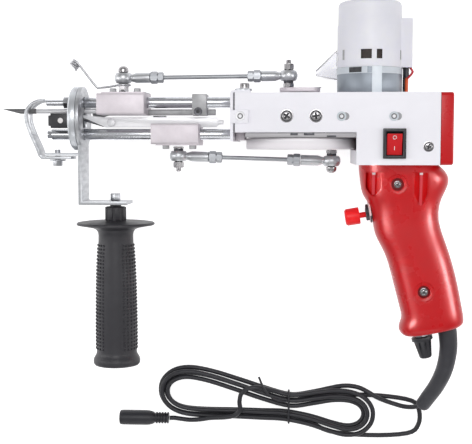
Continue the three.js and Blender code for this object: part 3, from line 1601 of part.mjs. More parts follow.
// A tube through given points, with every ring square to the route
function tubeThrough(points, radius, sides) {
  const ahead = points.map((point, index) => {
    const next = points[Math.min(index + 1, points.length - 1)];
    const last = points[Math.max(index - 1, 0)];
    return next.clone().sub(last).normalize();
  });
  const up = new THREE.Vector3(0, 0, 1);
  return loft(points.map((point, index) => {
    const across = new THREE.Vector3().crossVectors(ahead[index], up).normalize();
    const over = new THREE.Vector3().crossVectors(across, ahead[index]);
    return Array.from({ length: sides }, (_, side) => {
      const angle = 2 * Math.PI * (side + 0.5) / sides;
      return point.clone()
        .addScaledVector(across, radius * Math.cos(angle))
        .addScaledVector(over, radius * Math.sin(angle));
    });
  }));
}

function leastSelfGap(points, radius) {
  const parts = 4;
  const samples = points.slice(1).flatMap((point, index) =>
    Array.from({ length: parts }, (_, part) => points[index].clone().lerp(point, part / parts)));
  const along = samples.map((_, index) => index === 0 ? 0 : samples[index].distanceTo(samples[index - 1]));
  for (let index = 1; index < along.length; index += 1) {
    along[index] += along[index - 1];
  }
  let least = Infinity;
  samples.forEach((sample, index) => {
    for (let other = index + 1; other < samples.length; other += 1) {
      if (along[other] - along[index] > radius * 10) {
        least = Math.min(least, sample.distanceTo(samples[other]));
      }
    }
  });
  return least - 2 * radius;
}

function cordHank() {
  const points = hankPoints();
  console.log('least gap of the hank to itself, mm:', leastSelfGap(points, cordRadius).toFixed(2));
  return tubeThrough(points, cordRadius, cordSides);
}

// The lead runs from the sleeve's end face to the hank's first ring
function cordLead() {
  const sleeve = sleeveCurve();
  const start = sleeve.getPointAt(1).addScaledVector(sleeve.getTangentAt(1), clearance);
  const [first, second] = [hankPoint(0), hankPoint(1 / hankSteps)];
  const back = first.clone().sub(second).normalize();
  const end = first.clone().addScaledVector(back, clearance);
  const beforeEnd = end.clone().addScaledVector(back, 2 * cordRadius);
  const route = new THREE.CatmullRomCurve3(
    [start, ...leadRoute.map((point) => new THREE.Vector3(...point)), beforeEnd, end], false, 'centripetal');
  const outline = new THREE.Shape(Array.from({ length: leadSides }, (_, side) => {
    const angle = 2 * Math.PI * side / leadSides;
    return new THREE.Vector2(cordRadius * Math.cos(angle), cordRadius * Math.sin(angle));
  }));
  return new THREE.ExtrudeGeometry(outline, { steps: leadSteps, bevelEnabled: false, extrudePath: route });
}

function dcConnector() {
  const ribsStart = connectorBody + connectorTaper;
  const ribs = Array.from({ length: connectorRibs }, (_, rib) => {
    const start = ribsStart + rib * connectorRibPitch;
    const middle = start + connectorRibPitch / 2;
    return [
      [connectorGrooveRadius, start], [connectorGrooveRadius, middle],
      [connectorRibRadius, middle], [connectorRibRadius, start + connectorRibPitch],
    ];
  }).flat();
  const end = ribsStart + connectorRibs * connectorRibPitch;
  return turned([
    [connectorPinRadius, connectorBoreDepth], [connectorPinRadius, overrun], [0, overrun], [0, end],
    ...ribs.reverse(), [connectorRibRadius, ribsStart], [connectorRadius, connectorBody],
    [connectorRadius, 0], [connectorBore, 0], [connectorBore, connectorBoreDepth],
    [connectorPinRadius, connectorBoreDepth],
  ], 0, 0, smallSides).rotateZ(-Math.PI / 2).translate(connectorX, connectorY, connectorZ);
}

// The tie is a wire ring round the hank, with a loose end that lies over it
function cordTie() {
  const low = -housing.side + floorLift;
  const bottom = tieMiddleY - tieHalfHeight;
  const top = tieMiddleY + tieHalfHeight;
  const ring = (inset, from, to) => plateX(roundedRectangle(-low - tieRise + inset, -low - inset,
    bottom + inset, top - inset, tieCorner - inset, 4), from, to);
  const near = tieX - tieWire / 2;
  const far = tieX + tieWire / 2;
  return joined(cut(ring(0, near, far), ring(tieWire, near - overrun, far + overrun)),
    wire(curveThrough(tieEnd), tieWire / 2, 8, 6));
}

// Everything is placed, and the machine is set on the table with its middle at the origin
piece('housing_shell', housingShell(), whitePaint);
piece('front_plate', frontPlate(), whitePaint);
piece('bottom_plate', bottomPlate(), steel);
piece('shaft_block', shaftBlock(), aluminium);
piece('lower_bearing',
  bearingRing(plateBottom + bearingLip + clearance, crankShaftRadius + clearance), steel);
piece('upper_bearing', upperBearing(), steel);
piece('rear_cap', rearCap(), redPlastic);
piece('upper_guide_shaft', upperGuideShaft(), polishedSteel);
piece('lower_guide_shaft', lowerGuideShaft(), polishedSteel);
piece('front_disc', frontDisc(), aluminium);
piece('handle_bracket', handleBracket(), steel);
piece('presser_foot', presserFoot(), steel);
piece('presser_foot_bolt', footBolt(), steel);
piece('guide_block', guideBlock(), blackPlastic);
piece('side_handle', sideHandle(), blackPlastic);
piece('side_handle_bolt', sideHandleBolt(), steel);
piece('clamp_collar', clampCollar(), steel);
piece('cam_bar', camBar(), steel);
piece('crank_shaft', rodY(crankShaftRadius, crankDiscBottom, armTop, 0, 0), steel);
piece('crank_disc', crankDisc(), steel);
piece('crank_arm', crankArm(), steel);
piece('drive_gear', driveGear(), nylon);
piece('motor_can', motorCan(), canSteel);
piece('motor_shaft', motorShaft(), darkSteel);
piece('motor_cover', motorCover(), clearPlastic);
piece('air_deflector', airDeflector(), clearPlastic);
piece('motor_lead_near', motorLead(1, leadBulge), blackPlastic);
piece('motor_lead_far', motorLead(-1, 0), orangeWire);
piece('needle_slider', needleSlider(), aluminium);
piece('needle_slider_pin', ballPin(needleSliderTop + sliderLidThickness + clearance, upperFrontPinRise,
  -needleStudSetBack, 1, pinShortTip), steel);
piece('needle_bar', needleBar(), polishedSteel);
piece('needle', needle(), darkSteel);
piece('yarn_guide', yarnGuide(), polishedSteel);
piece('upper_rear_pin', ballPin(armTop + clearance, upperRearPinRise, -upperThrow, 1, pinTip), steel);
linkage('upper', [-needleStudSetBack, upperFrontPinRise], [-upperThrow, upperRearPinRise],
  upperBarrelLength);
piece('scissor_slider', scissorSlider(), aluminium);
piece('scissor_slider_pin', ballPin(-scissorSliderBottom - sliderLidThickness - clearance,
  -lowerFrontPinDrop, -scissorStudSetBack, -1, pinTip), steel);
piece('fixed_blade', fixedBlade(), polishedSteel);
piece('moving_blade', movingBlade(), darkSteel);
piece('blade_pivot', bladePivot(), darkSteel);
piece('lower_rear_pin', ballPin(crankDiscBottom - clearance, -lowerRearPinDrop, lowerThrow, -1, pinShortTip),
  steel);
linkage('lower', [-scissorStudSetBack, -lowerFrontPinDrop], [lowerThrow, -lowerRearPinDrop],
  lowerBarrelLength);
piece('grip_near_half', gripHalf(1), redPlastic);
piece('grip_far_half', gripHalf(-1), redPlastic);
piece('trigger_button', triggerButton(), brightRed);
piece('trigger_switch', triggerSwitch(), darkSteel);
piece('speed_knob', speedKnob(), blackPlastic);
piece('speed_control', speedControl(), steel);
piece('rocker_bezel', rockerBezel(), blackPlastic);
piece('rocker', rocker(), brightRed);
piece('cord_sleeve', cordSleeve(), blackPlastic);

machine.updateMatrixWorld(true);
const bounds = new THREE.Box3().setFromObject(machine, true);
machine.position.set(-(bounds.min.x + bounds.max.x) / 2, -(bounds.min.y + bounds.max.y) / 2, -bounds.min.z);

piece('cord_hank', cordHank(), blackPlastic);
piece('cord_lead', cordLead(), blackPlastic);
piece('dc_connector', dcConnector(), blackPlastic);
piece('cord_tie', cordTie(), blackPlastic);

export default machine;
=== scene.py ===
import json
import math

import bmesh
import bpy
from mathutils import Matrix, Vector


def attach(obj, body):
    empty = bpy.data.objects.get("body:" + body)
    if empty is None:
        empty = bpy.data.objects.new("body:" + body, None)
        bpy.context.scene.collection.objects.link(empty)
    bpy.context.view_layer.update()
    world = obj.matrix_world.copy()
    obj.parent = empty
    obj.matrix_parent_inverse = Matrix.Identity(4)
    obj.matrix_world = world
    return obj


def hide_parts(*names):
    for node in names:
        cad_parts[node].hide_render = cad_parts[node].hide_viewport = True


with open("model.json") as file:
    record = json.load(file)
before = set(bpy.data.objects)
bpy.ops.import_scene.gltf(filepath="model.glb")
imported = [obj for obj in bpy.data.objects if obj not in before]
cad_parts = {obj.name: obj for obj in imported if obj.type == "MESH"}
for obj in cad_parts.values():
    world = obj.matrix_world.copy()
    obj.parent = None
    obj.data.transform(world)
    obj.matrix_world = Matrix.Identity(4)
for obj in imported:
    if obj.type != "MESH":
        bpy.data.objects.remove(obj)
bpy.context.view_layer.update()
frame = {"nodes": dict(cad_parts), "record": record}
print("frame loaded,", len(frame["nodes"]), "nodes")

mm = 0.001
micron = 0.000001
drawnShift = Vector((0.0509137, 0.0763321, 0.041))  # the machine is drawn round its crank
quarter = math.pi / 2
pointing = {"X": (0, quarter, 0), "Y": (-quarter, 0, 0), "-Y": (quarter, 0, 0), "Z": (0, 0, 0)}


def spot(x, y, z):
    return Vector((x, y, z)) * mm + drawnShift


def clearPick():
    if bpy.context.object and bpy.context.object.mode != "OBJECT":
        bpy.ops.object.mode_set(mode="OBJECT")
    bpy.ops.object.select_all(action="DESELECT")


def pick(obj):
    clearPick()
    obj.select_set(True)
    bpy.context.view_layer.objects.active = obj


def editPiece(obj):
    pick(obj)
    bpy.ops.object.mode_set(mode="EDIT")
    bpy.ops.mesh.select_all(action="SELECT")


def leaveEdit():
    bpy.ops.object.mode_set(mode="OBJECT")


def pickPoints(obj, wanted):
    # in edit mode, picks the points whose number and place the rule wants
    bpy.ops.mesh.select_all(action="DESELECT")
    mesh = bmesh.from_edit_mesh(obj.data)
    for index, vert in enumerate(mesh.verts):
        vert.select = wanted(index, vert.co)
    mesh.select_flush(True)


def pickEdges(obj, wanted):
    # edge mode, so that only the edges asked for are selected
    editPiece(obj)
    bpy.ops.mesh.select_mode(type="EDGE")
    bpy.ops.mesh.select_all(action="DESELECT")
    mesh = bmesh.from_edit_mesh(obj.data)
    for edge in mesh.edges:
        edge.select_set(wanted(*(vert.co for vert in edge.verts)))
    bmesh.update_edit_mesh(obj.data)


def settle(obj):
    pick(obj)
    bpy.ops.object.transform_apply(location=True, rotation=True, scale=True)


def tidyMesh(obj, merge=0.000005):
    editPiece(obj)
    bpy.ops.mesh.remove_doubles(threshold=merge)
    bpy.ops.mesh.normals_make_consistent(inside=False)
    leaveEdit()


def applyModifier(obj, kind, **values):
    pick(obj)
    modifier = obj.modifiers.new(kind.title(), kind)
    for key, value in values.items():
        setattr(modifier, key, value)
    bpy.ops.object.modifier_apply(modifier=modifier.name)


def smoothShade(obj, degrees=35):
    pick(obj)
    bpy.ops.object.shade_smooth_by_angle(angle=math.radians(degrees))


def cutWith(obj, cutter, operation="DIFFERENCE"):
    applyModifier(obj, "BOOLEAN", object=cutter, operation=operation, solver="EXACT")
    bpy.data.objects.remove(cutter)


def breakEdges(obj, edge, degrees):
    applyModifier(obj, "BEVEL", width=edge * mm, segments=2, limit_method="ANGLE",
                  angle_limit=math.radians(degrees))


def joinAll(objects, name):
    clearPick()
    for obj in objects:
        obj.select_set(True)
    bpy.context.view_layer.objects.active = objects[0]
    bpy.ops.object.join()
    objects[0].name = name
    return objects[0]


def newShape(add, name, **values):
    clearPick()
    add(**values)
    bpy.context.object.name = name
    return bpy.context.object


def turnedPiece(name, profile, steps=40):
    # a profile of (radius, height) in millimetres, spun about the vertical
    obj = newShape(bpy.ops.mesh.primitive_plane_add, name, size=mm)
    editPiece(obj)
    bpy.ops.mesh.merge(type="CENTER")
    last = Vector((profile[0][0], 0, profile[0][1])) * mm
    bpy.ops.transform.translate(value=last)
    for radius, height in profile[1:]:
        step = Vector((radius, 0, height)) * mm
        bpy.ops.mesh.extrude_vertices_move(TRANSFORM_OT_translate={"value": step - last})
        last = step
    bpy.ops.mesh.select_all(action="SELECT")
    bpy.ops.mesh.spin(steps=steps, angle=2 * math.pi, center=(0, 0, 0), axis=(0, 0, 1))
    leaveEdit()
    tidyMesh(obj)
    return obj


def ringPiece(name, inner, outer, low, high, steps):
    return turnedPiece(name, [(inner, low), (outer, low), (outer, high), (inner, high), (inner, low)], steps)


def raised(profile, rise):
    return [(radius, height + rise) for radius, height in profile]


def roundBlock(name, low, high, edge, segments=2):
    # a block between two corners in drawing millimetres, with broken edges
    start, end = spot(*low), spot(*high)
    obj = newShape(bpy.ops.mesh.primitive_cube_add, name, size=1, location=(start + end) / 2,
                   scale=end - start)
    settle(obj)
    if edge:
        editPiece(obj)
        bpy.ops.mesh.bevel(offset=edge * mm, segments=segments, affect="EDGES")
        leaveEdit()
    return obj


def setPiece(obj, place, axis="Z", turn=0, size=(1, 1, 1), lean=0):
    # turns a piece about its own axis, points it along another, leans it by degrees and puts it in its place
    obj.scale = size
    settle(obj)
    obj.rotation_euler = (0, 0, turn)
    settle(obj)
    obj.rotation_euler = pointing[axis]
    if lean:
        settle(obj)
        obj.rotation_euler = (0, 0, math.radians(lean))
    obj.location = place
    settle(obj)
    return obj


def copyPiece(obj, name):
    copied = obj.copy()
    copied.data = obj.data.copy()
    copied.name = name
    bpy.context.scene.collection.objects.link(copied)
    return copied


def finishPiece(obj, finish, body="machine", replaced=(), degrees=35):
    settle(obj)
    obj.data.materials.clear()
    obj.data.materials.append(finishes[finish])
    smoothShade(obj, degrees)
    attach(obj, body)
    if replaced:
        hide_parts(*replaced)
    return obj


cameraPlace = {
    "place": (0.0499947, 0.0458621, 0.761),
    "right": (0.99797, 0.0, -0.06368),
    "up": (-0.00489, 0.99705, -0.07662),
    "lens": {"lens": 76.27, "sensor_width": 36, "clip_start": 0.02, "clip_end": 30},
}


def addCamera():
    clearPick()
    bpy.ops.object.camera_add()
    camera = bpy.context.object
    right = Vector(cameraPlace["right"]).normalized()
    up = Vector(cameraPlace["up"]).normalized()
    turn = Matrix((right, up, right.cross(up))).transposed().to_4x4()
    camera.matrix_world = Matrix.Translation(cameraPlace["place"]) @ turn
    for key, value in cameraPlace["lens"].items():
        setattr(camera.data, key, value)
    bpy.context.scene.camera = camera


addCamera()
print("camera placed")

cord = {
    "radius": 0.00175,
    "turns": 4,
    "steps": 24,
    "tailTurns": 0.07,
    "tailSteps": 3,
    "exitGap": 0.0003,
    "laneSpacing": 0.00435,
    "layerHeight": 0.0041,
    "layerClimbStart": 1.93,
    "layerClimbTurns": 0.2,
    "floorLift": 0.0001,
    "tieX": 0.0423137,
    "tieLift": 0.0018,
    "tieSpread": 0.03,
    "loopReach": 0.0385,
    "loopStart": 0.0739137,
    "loopRun": 0.026,
    "loopDrop": 0.003,
    "loopEase": 0.011,
    "loopMiddleY": -0.1536679,
    "slopeStep": 0.0001,
    "length": 1.7,
}
hankOutline = [
    (0.0609137, -0.1472679), (0.0423137, -0.1491679), (0.0209137, -0.1434679), (-0.0010863, -0.1365679),
    (-0.0250863, -0.1298679), (-0.0400863, -0.1292679), (-0.0503863, -0.1342679), (-0.0540863, -0.1431679),
    (-0.0505863, -0.1520679), (-0.0414863, -0.1578679), (-0.0250863, -0.1599679), (0.0009137, -0.1602679),
    (0.0229137, -0.1605679), (0.0423137, -0.1611679), (0.0629137, -0.1656679), (0.0789137, -0.1709679),
    (0.0909137, -0.1721679), (0.0999137, -0.1676679), (0.1032137, -0.1592679), (0.0996137, -0.1510679),
    (0.0904137, -0.1462679), (0.0769137, -0.1452679),
]
tailRoute = [
    (0.0239137, -0.1395679, 0.0098), (0.0175, -0.1384, 0.0114), (0.0105, -0.1396, 0.0116),
    (0.006, -0.1438, 0.0114), (0.0048, -0.15, 0.0112), (0.0052, -0.1556, 0.011), (0.0015, -0.1603, 0.0107),
    (-0.0065, -0.1622, 0.0104), (-0.0175, -0.163, 0.0098), (-0.026, -0.1647, 0.0085),
    (-0.034, -0.166, 0.0055), (-0.0408, -0.1655, 0.0048), (-0.0458863, -0.1646679, 0.0055),
    (-0.0495863, -0.1646679, 0.0058),
]
leadRoute = [
    (0.1439137, -0.1457679, 0.0177), (0.1409137, -0.1495679, 0.0136), (0.1357137, -0.1520679, 0.0094),
    (0.1291137, -0.1524679, 0.0061), (0.1221137, -0.1508679, 0.0046), (0.1154137, -0.1485679, 0.005),
    (0.1089137, -0.1455679, 0.006), (0.1027137, -0.1421679, 0.0045), (0.0965137, -0.1395679, 0.0024),
    (0.0894137, -0.1382679, 0.0019), (0.0819137, -0.1384679, 0.002), (0.0739137, -0.1399679, 0.0025),
]
sleeveRoute = [
    (0.1560137, -0.0858679, 0.041), (0.1569137, -0.0906679, 0.041), (0.1575137, -0.1016679, 0.0398),
    (0.1557137, -0.1161679, 0.0358), (0.1515137, -0.1296679, 0.029), (0.1454137, -0.1426679, 0.02),
]


def ease(value):
    share = min(max(value, 0), 1)
    return share * share * (3 - 2 * share)


def between(a, b, c, d, share):
    # a smooth curve through four points, from the second to the third
    last = share * (3 * (b - c) + d - a)
    return b + 0.5 * share * (c - a + share * (2 * a - 5 * b + 4 * c - d + last))


def closedPoint(points, share):
    place = share * len(points)
    first = math.floor(place)
    near = (Vector((*points[(first + step) % len(points)], 0)) for step in (-1, 0, 1, 2))
    return between(*near, place - first)


def hankPoint(turn):
    share = turn - math.floor(turn)
    point = closedPoint(hankOutline, share)
    step = cord["slopeStep"]
    along = closedPoint(hankOutline, min(share + step, 1)) - closedPoint(hankOutline, max(share - step, 0))
    along.normalize()
    half = cord["turns"] / 2
    lane = half / 2 - turn if turn < half else turn - half * 1.5
    point.x += along.y * lane * cord["laneSpacing"]
    point.y -= along.x * lane * cord["laneSpacing"]
    if 0.5 < turn < 1:
        inner = ease((point.x - cord["loopStart"] + cord["loopEase"]) / cord["loopEase"])
        point.y -= cord["loopDrop"] * inner * ease((cord["loopMiddleY"] - point.y) / cord["loopEase"])
        point.x += cord["loopReach"] * ease((point.x - cord["loopStart"]) / cord["loopRun"])
    overTie = math.exp(-(((point.x - cord["tieX"]) / cord["tieSpread"]) ** 2))
    climb = ease((turn - cord["layerClimbStart"]) / cord["layerClimbTurns"])
    point.z = cord["radius"] + cord["floorLift"] + cord["tieLift"] * overTie + cord["layerHeight"] * climb
    return point


def throughPoints(points, parts):
    ends = [points[0] * 2 - points[1], *points, points[-1] * 2 - points[-2]]
    route = [between(*ends[index:index + 4], part / parts)
             for index in range(len(points) - 1) for part in range(parts)]
    return route + [points[-1]]


def cordPath():
    sleeve = throughPoints([Vector(point) for point in sleeveRoute], 8)
    start = sleeve[-1] + (sleeve[-1] - sleeve[-2]).normalized() * cord["exitGap"]
    turns = [hankPoint(step / cord["steps"]) for step in range(cord["turns"] * cord["steps"] + 1)]
    tail = [hankPoint(cord["turns"] + cord["tailTurns"] * step / cord["tailSteps"])
            for step in range(1, cord["tailSteps"] + 1)]
    lead, end = ([Vector(point) for point in route] for route in (leadRoute, tailRoute))
    return throughPoints([start, *lead, *turns, *tail, *end], 4)


def curvePiece(name, points, radius, radii=None, sides=5):
    data = bpy.data.curves.new(name, "CURVE")
    data.dimensions = "3D"
    data.bevel_depth = radius
    data.bevel_resolution = sides
    data.use_fill_caps = True
    line = data.splines.new("POLY")
    line.points.add(len(points) - 1)
    for index, point in enumerate(points):
        line.points[index].co = (*point, 1)
        line.points[index].radius = radii[index] / radius if radii else 1
    piece = bpy.data.objects.new(name, data)
    bpy.context.scene.collection.objects.link(piece)
    return piece


def toMesh(piece):
    pick(piece)
    bpy.ops.object.convert(target="MESH")
    return bpy.context.object


cordPoints = cordPath()
cordLength = sum((b - a).length for a, b in zip(cordPoints, cordPoints[1:]))
print("cord routed, metres:", round(cordLength, 4))

studio = {
    "floorSize": 9,
    "floorHeight": -0.0004,
    "floorColour": (0.78, 0.78, 0.79, 1),
    "floorGlow": (0.72, 0.95),  # near the machine and far from it
    "glowReach": (0.5, 2.2),
    "brightness": (0.1, 0.62),  # the light from the horizon and from above
    # sine of height and brightness, as a camera or a mirror sees it
    "sky": [(0, 1), (0.16, 1), (0.34, 0.42), (0.62, 0.38), (0.84, 0.56), (1, 0.64)],
    # place, aim, size, power, and the beam in degrees of the two strips that only the grip mirrors
    "lamps": [
        ((0.05, 0.35, 1.35), (0.05, 0.0, 0.04), (0.7, 0.5), 5.5, 0),
        ((-0.75, 0.05, 0.5), (0.05, 0.0, 0.04), (0.22, 0.9), 2.2, 0),
        ((0.85, 0.05, 0.5), (0.05, 0.0, 0.04), (0.22, 0.9), 2.2, 0),
        ((0.05, -0.9, 0.6), (0.05, 0.0, 0.04), (0.9, 0.25), 1.4, 0),
        ((-0.465, -0.02, 0.68), (0.125, -0.02, 0.05), (0.3, 0.9), 1.7, 24),
        ((0.844, -0.02, 0.54), (0.135, -0.02, 0.05), (0.3, 0.9), 0.8, 24),
    ],
}
stripReceivers = bpy.data.collections.new("strip_receivers")


def fillInputs(tree, node, inputs):
    # an input takes a plain value or another node's output
    for key, value in inputs.items():
        if isinstance(value, bpy.types.NodeSocket):
            tree.links.new(value, node.inputs[key])
        else:
            node.inputs[key].default_value = value


def newNode(tree, kind, inputs=None, **settings):
    node = tree.nodes.new("ShaderNode" + kind)
    for key, value in settings.items():
        setattr(node, key, value)
    fillInputs(tree, node, inputs or {})
    return node


def fadeNode(tree, value, start, end, results):
    low, high = results
    return newNode(tree, "MapRange", {
        "Value": value, "From Min": start, "From Max": end, "To Min": low, "To Max": high}).outputs[0]


def seenDirectly(tree):
    path = newNode(tree, "LightPath").outputs
    last = path["Is Camera Ray"]
    for kind in ("Is Glossy Ray", "Is Transmission Ray"):
        last = newNode(tree, "Math", {0: last, 1: path[kind]}, operation="MAXIMUM").outputs[0]
    return last


def addFloor():
    place = (0, 0, studio["floorHeight"])
    floor = newShape(bpy.ops.mesh.primitive_plane_add, "studio_floor", size=studio["floorSize"],
                     location=place)
    material = bpy.data.materials.new("floorPaper")
    material.use_nodes = True
    tree = material.node_tree
    tree.nodes.clear()
    paper = newNode(tree, "BsdfDiffuse", {"Color": studio["floorColour"]})
    coordinates = newNode(tree, "TexCoord").outputs["Object"]
    away = newNode(tree, "VectorMath", {0: coordinates}, operation="LENGTH").outputs["Value"]
    fade = fadeNode(tree, away, *studio["glowReach"], studio["floorGlow"])
    level = newNode(tree, "Math", {0: seenDirectly(tree), 1: fade}, operation="MULTIPLY")
    glow = newNode(tree, "Emission", {"Strength": level.outputs[0]})
    total = newNode(tree, "AddShader", {0: paper.outputs[0], 1: glow.outputs[0]})
    newNode(tree, "OutputMaterial", {"Surface": total.outputs[0]})
    floor.data.materials.append(material)


def setWorld():
    world = bpy.data.worlds.new("studio")
    bpy.context.scene.world = world
    world.use_nodes = True
    tree = world.node_tree
    tree.nodes.clear()
    direction = newNode(tree, "TexCoord").outputs["Generated"]
    height = newNode(tree, "SeparateXYZ", {0: direction}).outputs["Z"]
    soft = newNode(tree, "Background", {"Strength": fadeNode(tree, height, 0, 1, studio["brightness"])})
    shade = newNode(tree, "ValToRGB", {"Fac": height})
    stops = shade.color_ramp.elements
    for index, (place, level) in enumerate(studio["sky"]):
        stop = stops[index] if index < 2 else stops.new(place)
        stop.position = place
        stop.color = (level, level, level, 1)
    plain = newNode(tree, "Background", {"Color": shade.outputs["Color"]})
    chosen = newNode(tree, "MixShader", {0: seenDirectly(tree), 1: soft.outputs[0], 2: plain.outputs[0]})
    newNode(tree, "OutputWorld", {"Surface": chosen.outputs[0]})


def addLamps():
    for index, (place, aim, size, power, beam) in enumerate(studio["lamps"]):
        clearPick()
        bpy.ops.object.light_add(type="AREA", location=place)
        light = bpy.context.object
        light.name = "lamp_" + str(index)
        light.data.shape = "RECTANGLE"
        light.data.size, light.data.size_y = size
        light.data.energy = power
        light.visible_camera = False
        if beam:
            light.data.spread = math.radians(beam)
            light.visible_diffuse = False
            light.light_linking.receiver_collection = stripReceivers
        light.rotation_euler = (Vector(aim) - light.location).to_track_quat("-Z", "Y").to_euler()


addFloor()
setWorld()
addLamps()
bpy.context.scene.view_settings.view_transform = "Standard"
print("studio ready")


def look(slot, colour, second, grain, patch, rough, spread=0.1, relief=20, **more):
    # two colours that mingle, scales of grain and patches, roughness and its spread, relief in micrometres
    return dict(more, slot=slot, relief=relief * micron, skin={
        "Colour": (*colour, 1), "Second Colour": (*second, 1), "Grain": grain, "Patch": patch,
        "Roughness": rough, "Spread": spread})


